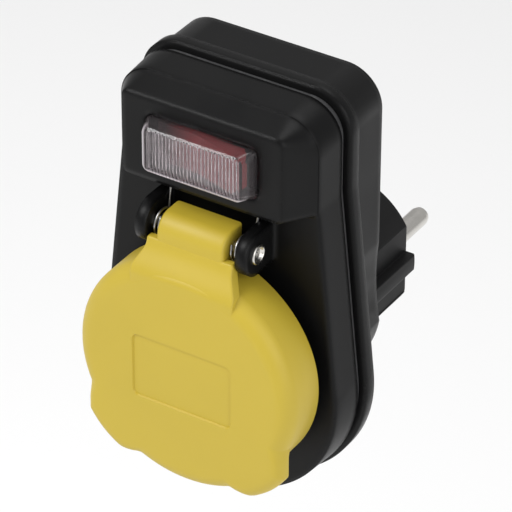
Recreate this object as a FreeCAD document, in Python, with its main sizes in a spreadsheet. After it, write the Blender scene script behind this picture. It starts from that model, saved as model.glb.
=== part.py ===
import FreeCAD, Part
import math
import os

import Sketcher
from FreeCAD import Placement, Rotation, Vector

# Switched splash-proof plug-in adapter for an earthed round plug, in millimetres.
# The origin is the centre of the plug's pin face. X runs to the right, Y runs
# from the front of the adapter to its pins, and Z runs up.
# A level is a distance from the pin face towards the front, so Y is minus the level.

# Driving dimensions

SIZES = [
    ("pin_radius", 2.4, "plug pin"),
    ("pin_shank_radius", 2.0, "plug pin inside the insert"),
    ("pin_spacing", 19.0, "centre to centre of the two pins"),
    ("pin_length", 19.0, "pin outside the plug's face"),
    ("plug_radius", 18.5, "round plug body"),
    ("plug_length", 30.0, "pin face to the back of the housing"),
    ("plug_flat", 15.9, "half width across the side notches"),
    ("pin_nose_flats", 3.0, "cones that round a pin's tip"),
    ("plug_edge", 0.4, "sloping edge round the pin face"),
    ("key_half_height", 2.05, "rib between the two notches of a side"),
    ("notch_top", 9.1, "outer end of a side notch"),
    ("notch_length", 23.0, "notch along the plug"),
    ("earth_slot_half_width", 4.0, "slot for an earth strip"),
    ("earth_slot_floor", 15.4, "height of the slot's floor over the axis"),
    ("spigot_radius", 17.2, "plug insert inside the housing"),
    ("spigot_length", 2.2, "spigot beyond the back of the housing"),
    ("rear_depth", 11.2, "rear shell behind its collar"),
    ("collar_depth", 3.3, "raised band of the rear shell"),
    ("collar_rise", 1.0, "band over the side wall"),
    ("groove_width", 2.2, "seal groove between the shells"),
    ("front_depth", 8.4, "front shell's side wall"),
    ("block_depth", 7.0, "switch block in front of the lower face"),
    ("draft", 0.6, "front shell's side wall, drawn in towards the front"),
    ("half_width", 26.0, "housing at the switch"),
    ("top_rise", 13.3, "top of the housing over the middle of the switch block"),
    ("corner_radius", 9.0, "upper corners of the housing"),
    ("side_spread_angle", 6.0, "angle of the spreading lower sides"),
    ("round_radius", 31.2, "round lower end of the housing"),
    ("round_drop", 4.9, "its centre below the plug's axis"),
    ("rear_round_radius", 27.0, "round lower end of the back"),
    ("rear_round_rise", 8.3, "its centre over the plug's axis"),
    ("wall", 2.2, "housing wall"),
    ("seal_inset", 1.0, "seal below the side wall"),
    ("seal_width", 1.8, "seal across"),
    ("grip_depth", 1.5, "finger scoop from its outer ends to its middle"),
    ("grip_proud", 1.0, "outer ends of a scoop outside the housing's upper side"),
    ("grip_half_length", 14.5, "finger scoop along the side"),
    ("grip_height", 16.5, "middle of the scoop over the axis"),
    ("grip_width", 6.2, "scoop from the back"),
    ("block_height", 55.3, "middle of the switch block"),
    ("block_half_width", 20.4, "switch block's face"),
    ("block_half_height", 10.5, "switch block's face"),
    ("block_foot_half_width", 25.2, "switch block at its foot"),
    ("block_foot_rise", 12.4, "top of the block's foot over its middle"),
    ("block_foot_corner", 8.0, "upper corners of the block's foot"),
    ("block_face_corner", 1.4, "corners of the block's face"),
    ("hinge_level", 61.8, "lid hinge axis"),
    ("hinge_rise", 4.7, "lid hinge axis over the top of the lid's disc"),
    ("ear_outside", 14.3, "outer face of a hinge ear"),
    ("ear_thickness", 2.7, "hinge ear"),
    ("ear_radius", 5.2, "rounded end of an ear"),
    ("hinge_pin_radius", 1.8, "hinge pin"),
    ("hinge_recess_radius", 1.5, "hollow in each end of the hinge pin"),
    ("hinge_recess_depth", 0.8, "hollow in each end of the hinge pin"),
    ("hinge_head_radius", 2.5, "rolled end of the hinge pin"),
    ("hinge_head_depth", 0.5, "rolled end of the hinge pin"),
    ("ledge_height", 2.4, "ledge under the switch block"),
    ("ledge_depth", 1.4, "ledge under the switch block"),
    ("running_gap", 0.05, "radial gap of a turning fit"),
    ("press_gap", 0.02, "radial gap of a pressed fit"),
    ("through", 90.0, "length of a cut that goes right through"),
    ("seat_gap", 0.1, "gap of a seated piece"),
    ("lid_level", 70.8, "front of the lid"),
    ("lid_depth", 12.3, "lid from its front to its rim"),
    ("lid_radius", 28.3, "lid"),
    ("lid_height", 2.2, "middle of the lid over the plug's axis"),
    ("lid_wall", 2.0, "lid wall"),
    ("lid_edge_radius", 4.0, "rounded front edge of the lid"),
    ("lid_edge_flats", 4.0, "cones that round the lid's edge"),
    ("lobe_radius", 32.1, "reach of the finger lobes"),
    ("lobe_start_angle", 34.0, "angle from straight down to a lobe"),
    ("lobe_end_angle", 54.0, "angle from straight down to the lobe's far end"),
    ("lobe_run_in_angle", 9.0, "angle over which a lobe rises from the waist"),
    ("lobe_waist", 29.2, "lid's reach between the lobes"),
    ("lobe_thickness", 3.6, "lobe plate"),
    ("lobe_bevel", 2.6, "sloping edge of the lobe plate"),
    ("lobe_hollow", 9.0, "radius of the sweep into a lobe"),
    ("lobe_nose", 24.0, "radius of a lobe's end"),
    ("lobe_root", 11.2, "upper end of a lobe's side below the lid's middle"),
    ("neck_half_width", 11.15, "lid neck in front of the ears"),
    ("neck_setback", 3.7, "front of the neck behind the lid's front"),
    ("neck_thickness", 1.7, "lid neck in front of the ears"),
    ("neck_drop", 1.3, "top of the wide neck below the hinge axis"),
    ("wedge_half_width", 13.4, "sloping root of the neck at the lid's front"),
    ("wedge_foot", 25.4, "top of the root at the lid's front, over the lid's middle"),
    ("wedge_rise", 3.9, "height of the root's slope"),
    ("barrel_half_width", 8.67, "lid barrel between the springs"),
    ("barrel_rise", 4.4, "top of the barrel over the hinge axis"),
    ("barrel_back", 3.0, "back of the barrel behind the hinge axis"),
    ("barrel_edge", 2.6, "rounded front of the barrel"),
    ("panel_half_width", 13.0, "shallow panel in the lid's front"),
    ("panel_half_height", 8.35, "shallow panel in the lid's front"),
    ("panel_depth", 0.4, "shallow panel in the lid's front"),
    ("panel_corner", 1.6, "corners of the panel"),
    ("panel_drop", 0.9, "panel's middle below the lid's"),
    ("lid_seal_depth", 1.6, "sealing ring in the lid"),
    ("lid_seal_inner_radius", 20.9, "sealing ring in the lid"),
    ("well_radius", 19.75, "socket well"),
    ("well_depth", 17.5, "socket well"),
    ("well_wall", 1.5, "wall of the socket insert"),
    ("well_floor", 2.7, "floor of the socket insert"),
    ("spout_wall", 1.8, "round collar that holds the insert"),
    ("insert_setback", 0.8, "insert behind the collar's rim"),
    ("insert_flange_radius", 24.0, "corners of the flange that rests behind the front wall"),
    ("insert_flange_depth", 2.0, "flange that rests behind the front wall"),
    ("guide_inner", 16.7, "inner face of the guide ribs"),
    ("guide_bottom", 3.3, "lower edge of a guide rib"),
    ("guide_top", 8.1, "upper edge of a guide rib"),
    ("aperture_radius", 2.95, "hole in the well's floor"),
    ("sleeve_bore", 2.45, "contact sleeve"),
    ("sleeve_wall", 0.7, "contact sleeve"),
    ("sleeve_length", 11.0, "contact sleeve"),
    ("sleeve_slit", 0.8, "slit of a contact sleeve"),
    ("sleeve_slit_length", 8.2, "slit of a contact sleeve"),
    ("clip_half_width", 3.0, "earth clip across"),
    ("plug_clip_start", 1.4, "bow of the plug's earth clip behind the pin face"),
    ("plug_clip_bow", 12.5, "bow of the plug's earth clip along the plug"),
    ("plug_clip_radius", 13.0, "bow of the plug's earth clip"),
    ("socket_clip_start", 1.8, "bow of the socket's earth clip above the floor"),
    ("socket_clip_bow", 12.2, "bow of the socket's earth clip along the well"),
    ("socket_clip_radius", 13.5, "bow of the socket's earth clip"),
    ("earth_rod_radius", 2.1, "rod between the two earth clips"),
    ("clip_thickness", 0.8, "earth clip"),
    ("clip_height", 18.6, "outer face of the front earth clip"),
    ("clip_gap", 0.3, "gap round an earth clip in the well's floor"),
    ("strap_thickness", 0.8, "current strap"),
    ("strap_half_width", 1.2, "current strap across"),
    ("strap_gap", 0.4, "strap in front of the plug insert"),
    ("stud_radius", 2.9, "stud between the neutral strap and its sleeve"),
    ("strap_foot", 3.0, "lower end of a strap below the pins"),
    ("strap_bend", 4.8, "cross run of the inlet strap below the switch terminals"),
    ("strap_overrun", 1.6, "upper end of a strap over the switch terminals"),
    ("boot_half_width", 14.2, "switch boot at the block's face"),
    ("boot_half_height", 6.2, "switch boot at the block's face"),
    ("boot_top_half_width", 12.6, "front of the switch boot"),
    ("boot_top_half_height", 5.5, "front of the switch boot"),
    ("boot_rise", 4.2, "switch boot in front of the block's face"),
    ("boot_wall", 0.7, "switch boot"),
    ("boot_corner", 1.6, "switch boot corners"),
    ("boot_edge", 0.5, "sloping edge round the boot's front"),
    ("boot_flange", 1.8, "boot flange beyond its wall"),
    ("boot_flange_depth", 1.0, "boot flange"),
    ("rib_count", 27.0, "grooves between the ribs of the boot"),
    ("rib_pitch", 0.9, "rib of the boot"),
    ("rib_groove", 0.3, "depth of the grooves"),
    ("rib_groove_half_width", 0.36, "grooves at the boot's front"),
    ("frame_depth", 1.6, "clamping frame behind the boot"),
    ("block_hollow_half_width", 17.6, "hollow of the switch block"),
    ("block_hollow_half_height", 8.2, "hollow of the switch block"),
    ("switch_half_width", 13.2, "switch body"),
    ("switch_half_height", 6.3, "switch body"),
    ("switch_depth", 12.6, "switch body"),
    ("rocker_well_half_width", 11.3, "opening of the switch body"),
    ("rocker_well_half_height", 4.9, "opening of the switch body"),
    ("rocker_well_depth", 9.6, "opening of the switch body"),
    ("pivot_setback", 2.2, "rocker axis behind the switch body's front"),
    ("rocker_half_length", 10.8, "rocker"),
    ("rocker_half_height", 4.5, "rocker"),
    ("rocker_end_rise", 6.6, "rocker's ends in front of its axis"),
    ("rocker_dip", 1.3, "middle of the rocker behind its ends"),
    ("rocker_tilt", 8.5, "rocker either side of its middle"),
    ("rocker_shoulder", 0.8, "ends of the rocker's base in front of its axis"),
    ("rocker_foot", 3.3, "flat foot of the rocker's base, half its length"),
    ("trunnion_radius", 1.2, "rocker pivot"),
    ("lens_depth", 4.0, "red lens of the rocker"),
    ("lens_wall", 1.0, "red lens of the rocker"),
    ("lens_corner", 0.5, "rounded front ends of the lens"),
    ("plunger_radius", 1.1, "rocker plunger"),
    ("plunger_reach", 6.0, "plunger tip behind the rocker's axis"),
    ("plunger_nose_flats", 1.0, "cones that round the plunger's tip"),
    ("plunger_start", 2.2, "other end of the plunger behind the rocker's axis"),
    ("seesaw_half_length", 7.6, "moving contact"),
    ("seesaw_thickness", 0.6, "moving contact"),
    ("seesaw_half_width", 1.8, "moving contact"),
    ("seesaw_tilt", 4.0, "moving contact either side of its middle"),
    ("seesaw_setback", 6.7, "moving contact's axis behind the rocker's"),
    ("seesaw_rise", 0.8, "moving contact's ends in front of its middle"),
    ("seesaw_seat", 0.12, "underside of the moving contact behind its axis"),
    ("terminal_spacing", 8.0, "switch terminals"),
    ("terminal_half_width", 2.2, "switch terminals"),
    ("terminal_thickness", 0.8, "switch terminals"),
    ("post_radius", 3.2, "corners of a screw post in the front shell"),
    ("boss_radius", 4.4, "corners of a screw post in the rear shell"),
    ("post_sides", 8.0, "flats round a screw post, a screw's shank and the insert's flange"),
    ("post_inset", 6.2, "upper screw posts inside the housing's side"),
    ("post_drop", 8.2, "upper screw posts below the housing's top"),
    ("post_low_inset", 6.6, "lower screw posts inside the round lower end"),
    ("post_low_angle", 61.5, "angle from straight down to a lower screw post"),
    ("screw_radius", 1.3, "housing screw"),
    ("screw_head_radius", 2.5, "housing screw head"),
    ("screw_head_depth", 1.8, "housing screw head"),
    ("screw_head_sides", 16.0, "flats round a screw's head"),
    ("screw_length", 9.0, "housing screw below its head"),
    ("screw_grip", 3.0, "housing screw inside the rear shell"),
    ("spring_wire_radius", 0.32, "hinge spring wire"),
    ("spring_radius", 3.1, "hinge spring coil"),
    ("spring_pitch", 1.08, "hinge spring coil"),
    ("spring_quarter_turns", 6.0, "hinge spring coil"),
    ("spring_wire_sides", 6.0, "flats round the hinge spring wire"),
    ("spring_tail", 1.4, "short end of a hinge spring"),
    ("spring_side_gap", 0.35, "hinge spring beside the barrel"),
    ("spring_end_gap", 0.3, "hinge spring's leg below the switch block"),
    ("spring_face_gap", 0.7, "hinge spring's leg in front of the housing's face"),
    ("coil_radius", 0.9, "plunger spring"),
    ("coil_bore", 0.6, "plunger spring"),
    ("bore_floor", 1.8, "end of the plunger's bore in front of the rocker's axis"),
    ("rocker_base_back", 3.6, "underside of the rocker behind its axis"),
    ("lamp_radius", 0.95, "glow lamp"),
    ("lamp_length", 6.0, "glow lamp"),
    ("lamp_start", 3.0, "glow lamp beside the rocker's middle"),
    ("resistor_radius", 0.8, "series resistor"),
    ("resistor_length", 5.0, "series resistor"),
    ("resistor_start", -8.0, "series resistor beside the rocker's middle"),
]


class Size:
    """A number that remembers the formula on the spreadsheet it comes from."""

    def __init__(self, value, text):
        self.value = float(value)
        self.text = text

    @staticmethod
    def of(other):
        if isinstance(other, Size):
            return other
        return Size(other, repr(other))

    def join(self, sign, other, value):
        return Size(value, "(%s %s %s)" % (self.text, sign, other.text))

    def __add__(self, other):
        other = Size.of(other)
        return self.join("+", other, self.value + other.value)

    def __sub__(self, other):
        other = Size.of(other)
        return self.join("-", other, self.value - other.value)

    def __mul__(self, other):
        other = Size.of(other)
        return self.join("*", other, self.value * other.value)

    def __truediv__(self, other):
        other = Size.of(other)
        return self.join("/", other, self.value / other.value)

    def __radd__(self, other):
        return Size.of(other) + self

    def __rsub__(self, other):
        return Size.of(other) - self

    def __rmul__(self, other):
        return Size.of(other) * self

    def __neg__(self):
        return Size(-self.value, "(0 - %s)" % self.text)


def root(size):
    return Size(math.sqrt(size.value), "sqrt(%s)" % size.text)


def sine(angle):
    angle = Size.of(angle)
    return Size(math.sin(math.radians(angle.value)), "sin(%s)" % angle.text)


def cosine(angle):
    angle = Size.of(angle)
    return Size(math.cos(math.radians(angle.value)), "cos(%s)" % angle.text)


def whole(size):
    """A size that counts something."""
    return int(round(size.value))


class Dimensions:
    """The spreadsheet's sizes as attributes."""

    def __init__(self, doc):
        sheet = doc.addObject("Spreadsheet::Sheet", "Sizes")
        for row, (name, value, note) in enumerate(SIZES, start=1):
            sheet.set("A%d" % row, name)
            sheet.set("B%d" % row, str(value))
            sheet.set("C%d" % row, note)
            sheet.setAlias("B%d" % row, name)
            setattr(self, name, Size(value, "Sizes." + name))
        doc.recompute()
        self.place_levels()

    def place_levels(self):
        self.rear = self.plug_length
        self.collar_rear = self.rear + self.rear_depth
        self.collar_front = self.collar_rear + self.collar_depth
        self.seam = self.collar_front + self.groove_width
        self.face = self.seam + self.front_depth
        self.block_face = self.face + self.block_depth
        self.spigot_end = self.rear + self.spigot_length
        self.rear_inside = self.rear + self.wall
        self.face_inside = self.face - self.wall
        self.block_inside = self.block_face - self.wall
        self.lid_inside = self.lid_level - self.lid_wall
        self.spout_rim = self.lid_inside - self.lid_seal_depth - self.seat_gap
        self.spout_bore = self.well_radius + self.well_wall + self.seat_gap
        self.spout_radius = self.spout_bore + self.spout_wall
        self.insert_rim = self.spout_rim - self.insert_setback
        self.well_bottom = self.insert_rim - self.well_depth
        self.insert_back = self.well_bottom - self.well_floor
        self.sleeve_back = self.insert_back - self.sleeve_length
        self.strap_level = self.spigot_end + self.strap_gap
        self.boot_seat = self.block_inside - self.boot_flange_depth
        self.switch_front = self.boot_seat - self.seat_gap
        self.switch_back = self.switch_front - self.switch_depth
        self.pivot_level = self.switch_front - self.pivot_setback
        self.pin_offset = self.pin_spacing / 2
        self.lid_rim = self.lid_level - self.lid_depth
        self.boot_front = self.block_face + self.boot_rise
        self.seesaw_level = self.pivot_level - self.seesaw_setback
        self.screw_seat = self.collar_front - self.seat_gap - self.screw_grip
        self.block_low = self.block_height - self.block_half_height
        self.top_height = self.block_height + self.top_rise
        self.neck_front = self.lid_level - self.neck_setback
        self.hinge_height = self.lid_height + self.lid_radius + self.hinge_rise


# Sketch and feature helpers

class Outline:
    """A closed chain of lines and arcs through points given by sizes."""

    def __init__(self, x, y):
        self.points = [(Size.of(x), Size.of(y))]
        self.edges = []

    def line(self, x, y):
        self.points.append((Size.of(x), Size.of(y)))
        self.edges.append(None)
        return self

    def arc(self, x, y, radius, turns_left=True):
        self.points.append((Size.of(x), Size.of(y)))
        self.edges.append((Size.of(radius), turns_left))
        return self

    def close(self):
        self.edges.append(None)
        return self

    def mirror_and_close(self):
        """Adds the left side of a chain that starts and ends at x = 0."""
        points = list(self.points)
        edges = list(self.edges)
        for step in range(len(edges) - 1, 0, -1):
            x, y = points[step]
            self.points.append((-x, y))
            self.edges.append(edges[step])
        self.edges.append(edges[0])
        return self


def forward(outline):
    """The outline with its second coordinate as a level, so that it counts from back to front."""
    outline.points = [(x, -y) for x, y in outline.points]
    return outline


def arc_geometry(start, end, radius, turns_left):
    middle = (start + end) / 2
    chord = end - start
    rise = math.sqrt(max(radius ** 2 - (chord.Length / 2) ** 2, 0.0))
    side = Vector(-chord.y, chord.x, 0).normalize()
    if not turns_left:
        side = side * -1
    centre = middle + side * rise
    first, last = (start, end) if turns_left else (end, start)
    a0 = math.atan2(first.y - centre.y, first.x - centre.x)
    a1 = math.atan2(last.y - centre.y, last.x - centre.x)
    if a1 < a0:
        a1 += 2 * math.pi
    return Part.ArcOfCircle(Part.Circle(centre, Vector(0, 0, 1), radius), a0, a1)


# The sketch's origin and the points of an edge, as the constraints count them

ORIGIN = -1
START, END, CENTRE = 1, 2, 3


def hold(sketch, constraint, size):
    index = sketch.addConstraint(constraint)
    sketch.setExpression("Constraints[%d]" % index, size.text)


def hold_point(sketch, edge, corner, x, y):
    hold(sketch, Sketcher.Constraint("DistanceX", ORIGIN, START, edge, corner, x.value), x)
    hold(sketch, Sketcher.Constraint("DistanceY", ORIGIN, START, edge, corner, y.value), y)


def draw(sketch, outline):
    count = len(outline.edges)
    corners = [Vector(x.value, y.value, 0) for x, y in outline.points]
    ends = []
    for step, bend in enumerate(outline.edges):
        start, end = corners[step], corners[(step + 1) % count]
        if bend is None:
            edge = sketch.addGeometry(Part.LineSegment(start, end), False)
            ends.append((edge, START, END))
            continue
        radius, turns_left = bend
        edge = sketch.addGeometry(arc_geometry(start, end, radius.value, turns_left), False)
        ends.append((edge, START, END) if turns_left else (edge, END, START))
        hold(sketch, Sketcher.Constraint("Radius", edge, radius.value), radius)
    for step, (edge, start, end) in enumerate(ends):
        following = ends[(step + 1) % count]
        hold_point(sketch, edge, start, *outline.points[step])
        sketch.addConstraint(Sketcher.Constraint("Coincident", edge, end, following[0], following[1]))


def draw_circle(sketch, x, y, radius):
    x, y, radius = Size.of(x), Size.of(y), Size.of(radius)
    circle = Part.Circle(Vector(x.value, y.value, 0), Vector(0, 0, 1), radius.value)
    edge = sketch.addGeometry(circle, False)
    hold(sketch, Sketcher.Constraint("Radius", edge, radius.value), radius)
    hold_point(sketch, edge, CENTRE, x, y)


def new_body(doc, label):
    return doc.addObject("PartDesign::Body", label)


def new_sketch(body, name, role, level=0.0):
    """A sketch on one of the body's own planes, moved along the plane's normal."""
    plane = next(item for item in body.Origin.OriginFeatures if item.Role == role)
    sketch = body.newObject("Sketcher::SketchObject", name)
    sketch.AttachmentSupport = (plane, [""])
    sketch.MapMode = "FlatFace"
    level = Size.of(level)
    sketch.AttachmentOffset = Placement(Vector(0, 0, level.value), Rotation())
    sketch.setExpression("AttachmentOffset.Base.z", level.text)
    return sketch


def outline_sketch(body, name, role, level, *outlines):
    sketch = new_sketch(body, name, role, level)
    for outline in outlines:
        draw(sketch, outline)
    return sketch


def circle_sketch(body, name, role, level, *circles):
    sketch = new_sketch(body, name, role, level)
    for circle in circles:
        draw_circle(sketch, *circle)
    return sketch


def extrude(body, kind, name, sketch, length, reverse, symmetric):
    feature = body.newObject("PartDesign::" + kind, name)
    feature.Profile = sketch
    length = Size.of(length)
    feature.Length = length.value
    feature.setExpression("Length", length.text)
    feature.Reversed = reverse
    if symmetric:
        feature.SideType = "Symmetric"
    body.Tip = feature
    return feature


def pad(body, name, sketch, length, reverse=False, symmetric=False):
    return extrude(body, "Pad", name, sketch, length, reverse, symmetric)


def pocket(body, name, sketch, length, reverse=False, symmetric=False):
    return extrude(body, "Pocket", name, sketch, length, reverse, symmetric)


def loft(body, kind, name, first, second):
    feature = body.newObject("PartDesign::" + kind, name)
    feature.Profile = first
    feature.Sections = [second]
    feature.Ruled = True
    body.Tip = feature
    return feature


def revolve(body, name, sketch, axis="V_Axis"):
    feature = body.newObject("PartDesign::Revolution", name)
    feature.Profile = sketch
    feature.ReferenceAxis = (sketch, [axis])
    feature.Angle = 360
    body.Tip = feature
    return feature


def bevel_edges(body, name, feature, size, chosen):
    """Bevels the edges of the feature that the test picks."""
    body.Document.recompute()
    names = []
    for index, edge in enumerate(feature.Shape.Edges, start=1):
        if chosen(edge):
            names.append("Edge%d" % index)
    bevel = body.newObject("PartDesign::Chamfer", name)
    bevel.Base = (feature, names)
    size = Size.of(size)
    bevel.Size = size.value
    bevel.setExpression("Size", size.text)
    body.Tip = bevel
    return bevel


def lies_at_level(edge, level):
    """True where the whole edge lies in the plane at this level."""
    box = edge.BoundBox
    return abs(box.YMin + level.value) < 1e-4 and abs(box.YMax + level.value) < 1e-4


def has_radius(edge, radius):
    """True for an edge that is an arc or a circle of this radius."""
    return isinstance(edge.Curve, Part.Circle) and abs(edge.Curve.Radius - radius.value) < 1e-4


def place(item, x=0.0, y=0.0, z=0.0):
    for axis, size in (("x", x), ("y", y), ("z", z)):
        size = Size.of(size)
        item.setExpression("Placement.Base." + axis, size.text)


# Outlines that several pieces share

def rounded_box(half_width, low, high, low_radius, high_radius):
    """Right half of a box on the Z axis, with its corners rounded, and its mirror image."""
    right = Outline(0.0, low)
    right.line(half_width - low_radius, low)
    right.arc(half_width, low + low_radius, low_radius)
    right.line(half_width, high - high_radius)
    right.arc(half_width - high_radius, high, high_radius)
    right.line(0.0, high)
    return right.mirror_and_close()


def plain_box(left, right, low, high):
    return Outline(left, low).line(right, low).line(right, high).line(left, high).close()


def keyhole_outline(half_width, spread, radius, centre, top, corner):
    """Straight sides above, spreading below until they run into the round lower end."""
    kink = centre + (radius - half_width * cosine(spread)) / sine(spread)
    right = Outline(0.0, centre - radius)
    right.arc(radius * cosine(spread), centre + radius * sine(spread), radius)
    right.line(half_width, kink)
    right.line(half_width, top - corner)
    right.arc(half_width - corner, top, corner)
    right.line(0.0, top)
    return right.mirror_and_close()


def housing_outline(d, inset):
    return keyhole_outline(
        d.half_width - inset, d.side_spread_angle, d.round_radius - inset, -d.round_drop,
        d.top_height - inset, d.corner_radius - inset)


def back_outline(d, inset):
    return keyhole_outline(
        d.half_width - inset, d.side_spread_angle, d.rear_round_radius - inset, d.rear_round_rise,
        d.top_height - inset, d.corner_radius - inset)


def post_places(d):
    """Two posts near the upper corners and two inside the round lower end."""
    reach = d.round_radius - d.post_low_inset
    places = []
    for side in (-1, 1):
        places.append((side * (d.half_width - d.post_inset), d.top_height - d.post_drop))
        places.append((side * reach * sine(d.post_low_angle),
                       -d.round_drop - reach * cosine(d.post_low_angle)))
    return places


def flat_sided(d, x, z, radius):
    """A post, hole or flange with flat sides, by the radius of its corners."""
    sides = whole(d.post_sides)
    corners = []
    for step in range(sides):
        angle = 360.0 * step / sides
        corners.append((x + radius * cosine(angle), z + radius * sine(angle)))
    chain = Outline(*corners[0])
    for corner in corners[1:]:
        chain.line(*corner)
    return chain.close()


def rounded_end(profile, radius, x, y, flats):
    """Adds short lines that turn the outline from sideways at x to the point x - radius, y."""
    for step in range(1, flats + 1):
        angle = 90.0 * step / flats
        profile.line(x - radius + radius * cosine(angle), y - radius + radius * sine(angle))


# Housing

def make_front_shell(doc, d):
    body = new_body(doc, "front_shell")
    foot = outline_sketch(body, "SeamOutline", "XZ_Plane", d.seam, housing_outline(d, 0.0))
    front = outline_sketch(body, "FaceOutline", "XZ_Plane", d.face, housing_outline(d, d.draft))
    loft(body, "AdditiveLoft", "SideWall", foot, front)
    block_foot = outline_sketch(
        body, "BlockFoot", "XZ_Plane", d.face,
        rounded_box(d.block_foot_half_width, d.block_low, d.block_height + d.block_foot_rise,
                    d.block_face_corner, d.block_foot_corner))
    block_face = outline_sketch(
        body, "BlockFace", "XZ_Plane", d.block_face,
        rounded_box(d.block_half_width, d.block_low, d.block_height + d.block_half_height,
                    d.block_face_corner, d.block_face_corner))
    loft(body, "AdditiveLoft", "SwitchBlock", block_foot, block_face)
    spout = circle_sketch(body, "SpoutCircle", "XZ_Plane", d.face, (0, 0, d.spout_radius))
    pad(body, "Spout", spout, d.spout_rim - d.face)
    add_hinge_ears(body, d)
    hollow_front_shell(body, d)
    return body


def ear_outline(d, back_level):
    """Side view of an ear: a round end with flat flanks that run back to the face."""
    centre = -d.hinge_level
    ear = Outline(centre, d.hinge_height + d.ear_radius)
    ear.arc(centre - d.ear_radius, d.hinge_height, d.ear_radius)
    ear.arc(centre, d.hinge_height - d.ear_radius, d.ear_radius)
    ear.line(-back_level, d.hinge_height - d.ear_radius)
    ear.line(-back_level, d.hinge_height + d.ear_radius)
    return ear.close()


def add_hinge_ears(body, d):
    ears = outline_sketch(body, "EarOutline", "YZ_Plane", 0.0, ear_outline(d, d.face_inside))
    pad(body, "Ears", ears, 2 * d.ear_outside, symmetric=True)
    between = outline_sketch(body, "EarGap", "YZ_Plane", 0.0, ear_outline(d, d.face))
    pocket(body, "BetweenEars", between, 2 * (d.ear_outside - d.ear_thickness), symmetric=True)
    ledge = outline_sketch(
        body, "LedgeOutline", "XZ_Plane", d.face,
        plain_box(-d.barrel_half_width, d.barrel_half_width,
                  d.block_low - d.ledge_height, d.block_low))
    pad(body, "Ledge", ledge, d.ledge_depth)
    bore = circle_sketch(body, "PinHole", "YZ_Plane", 0.0,
                         (-d.hinge_level, d.hinge_height, d.hinge_pin_radius + d.press_gap))
    pocket(body, "PinHoles", bore, d.through, symmetric=True)


def hollow_front_shell(body, d):
    inner = outline_sketch(body, "InnerOutline", "XZ_Plane", d.seam, housing_outline(d, d.wall))
    pocket(body, "Hollow", inner, d.face_inside - d.seam, reverse=True)
    block = outline_sketch(
        body, "BlockHollowOutline", "XZ_Plane", d.face_inside,
        rounded_box(d.block_hollow_half_width, d.block_height - d.block_hollow_half_height,
                    d.block_height + d.block_hollow_half_height, d.block_face_corner, d.block_face_corner))
    pocket(body, "BlockHollow", block, d.block_inside - d.face_inside, reverse=True)
    opening = outline_sketch(
        body, "BootOpening", "XZ_Plane", d.block_inside,
        rounded_box(d.boot_half_width + d.seat_gap, d.block_height - d.boot_half_height - d.seat_gap,
                    d.block_height + d.boot_half_height + d.seat_gap, d.boot_corner, d.boot_corner))
    pocket(body, "BootHole", opening, 2 * d.wall, reverse=True)
    bore = circle_sketch(body, "SpoutBoreCircle", "XZ_Plane", d.seam, (0, 0, d.spout_bore))
    pocket(body, "SpoutBore", bore, 2 * (d.spout_rim - d.seam), reverse=True)
    posts = outline_sketch(
        body, "PostOutlines", "XZ_Plane", d.collar_front,
        *[flat_sided(d, x, z, d.post_radius) for x, z in post_places(d)])
    pad(body, "Posts", posts, d.face_inside - d.collar_front + 0.5 * d.wall)
    holes = outline_sketch(
        body, "PilotOutlines", "XZ_Plane", d.collar_front,
        *[flat_sided(d, x, z, d.screw_radius + d.press_gap) for x, z in post_places(d)])
    pocket(body, "PilotHoles", holes, d.face_inside - d.collar_front, reverse=True)


def make_rear_shell(doc, d):
    body = new_body(doc, "rear_shell")
    band = outline_sketch(body, "BandOutline", "XZ_Plane", d.collar_rear, housing_outline(d, -d.collar_rise))
    pad(body, "Band", band, d.collar_depth)
    back = outline_sketch(body, "BackOutline", "XZ_Plane", d.rear, back_outline(d, 0.0))
    pad(body, "Back", back, d.rear_depth)
    cut_grips(body, d)
    deep = outline_sketch(body, "DeepHollowOutline", "XZ_Plane", d.collar_front, back_outline(d, d.wall))
    pocket(body, "DeepHollow", deep, d.collar_front - d.rear_inside)
    wide = outline_sketch(body, "WideHollowOutline", "XZ_Plane", d.collar_front, housing_outline(d, d.wall))
    pocket(body, "WideHollow", wide, d.collar_depth - d.wall)
    top = d.collar_front - d.seat_gap
    head_level = d.screw_seat - d.screw_head_depth
    for name, above, level in (("Upper", True, d.rear_inside), ("Lower", False, head_level)):
        bosses = outline_sketch(
            body, name + "BossOutlines", "XZ_Plane", level,
            *[flat_sided(d, x, z, d.boss_radius) for x, z in post_places(d) if (z.value > 0) == above])
        pad(body, name + "Bosses", bosses, top - level)
    bore = circle_sketch(body, "SpigotCircle", "XZ_Plane", d.rear, (0, 0, d.spigot_radius + d.seat_gap))
    pocket(body, "SpigotBore", bore, 2 * d.wall, reverse=True)
    cut_screw_holes(body, d)
    return body


def cut_grips(body, d):
    """A shallow scoop in each side, one large arc that runs in from the back."""
    half = d.grip_half_length
    radius = (half * half + d.grip_depth * d.grip_depth) / (2 * d.grip_depth)
    scoops = []
    for side in (-1, 1):
        edge = side * (d.half_width + d.grip_proud)
        scoop = Outline(edge, d.grip_height - half)
        scoop.arc(edge, d.grip_height + half, radius, side < 0)
        scoops.append(scoop.close())
    sketch = outline_sketch(body, "GripOutline", "XZ_Plane", d.rear, *scoops)
    pocket(body, "Grips", sketch, d.grip_width, reverse=True)


def cut_screw_holes(body, d):
    heads = circle_sketch(
        body, "HeadCircles", "XZ_Plane", d.screw_seat,
        *[(x, z, d.screw_head_radius + d.seat_gap) for x, z in post_places(d)])
    pocket(body, "HeadHoles", heads, 2 * d.rear_depth)
    shanks = outline_sketch(
        body, "ShankOutlines", "XZ_Plane", d.collar_front,
        *[flat_sided(d, x, z, d.screw_radius + d.seat_gap) for x, z in post_places(d)])
    pocket(body, "ShankHoles", shanks, d.screw_length)


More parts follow.
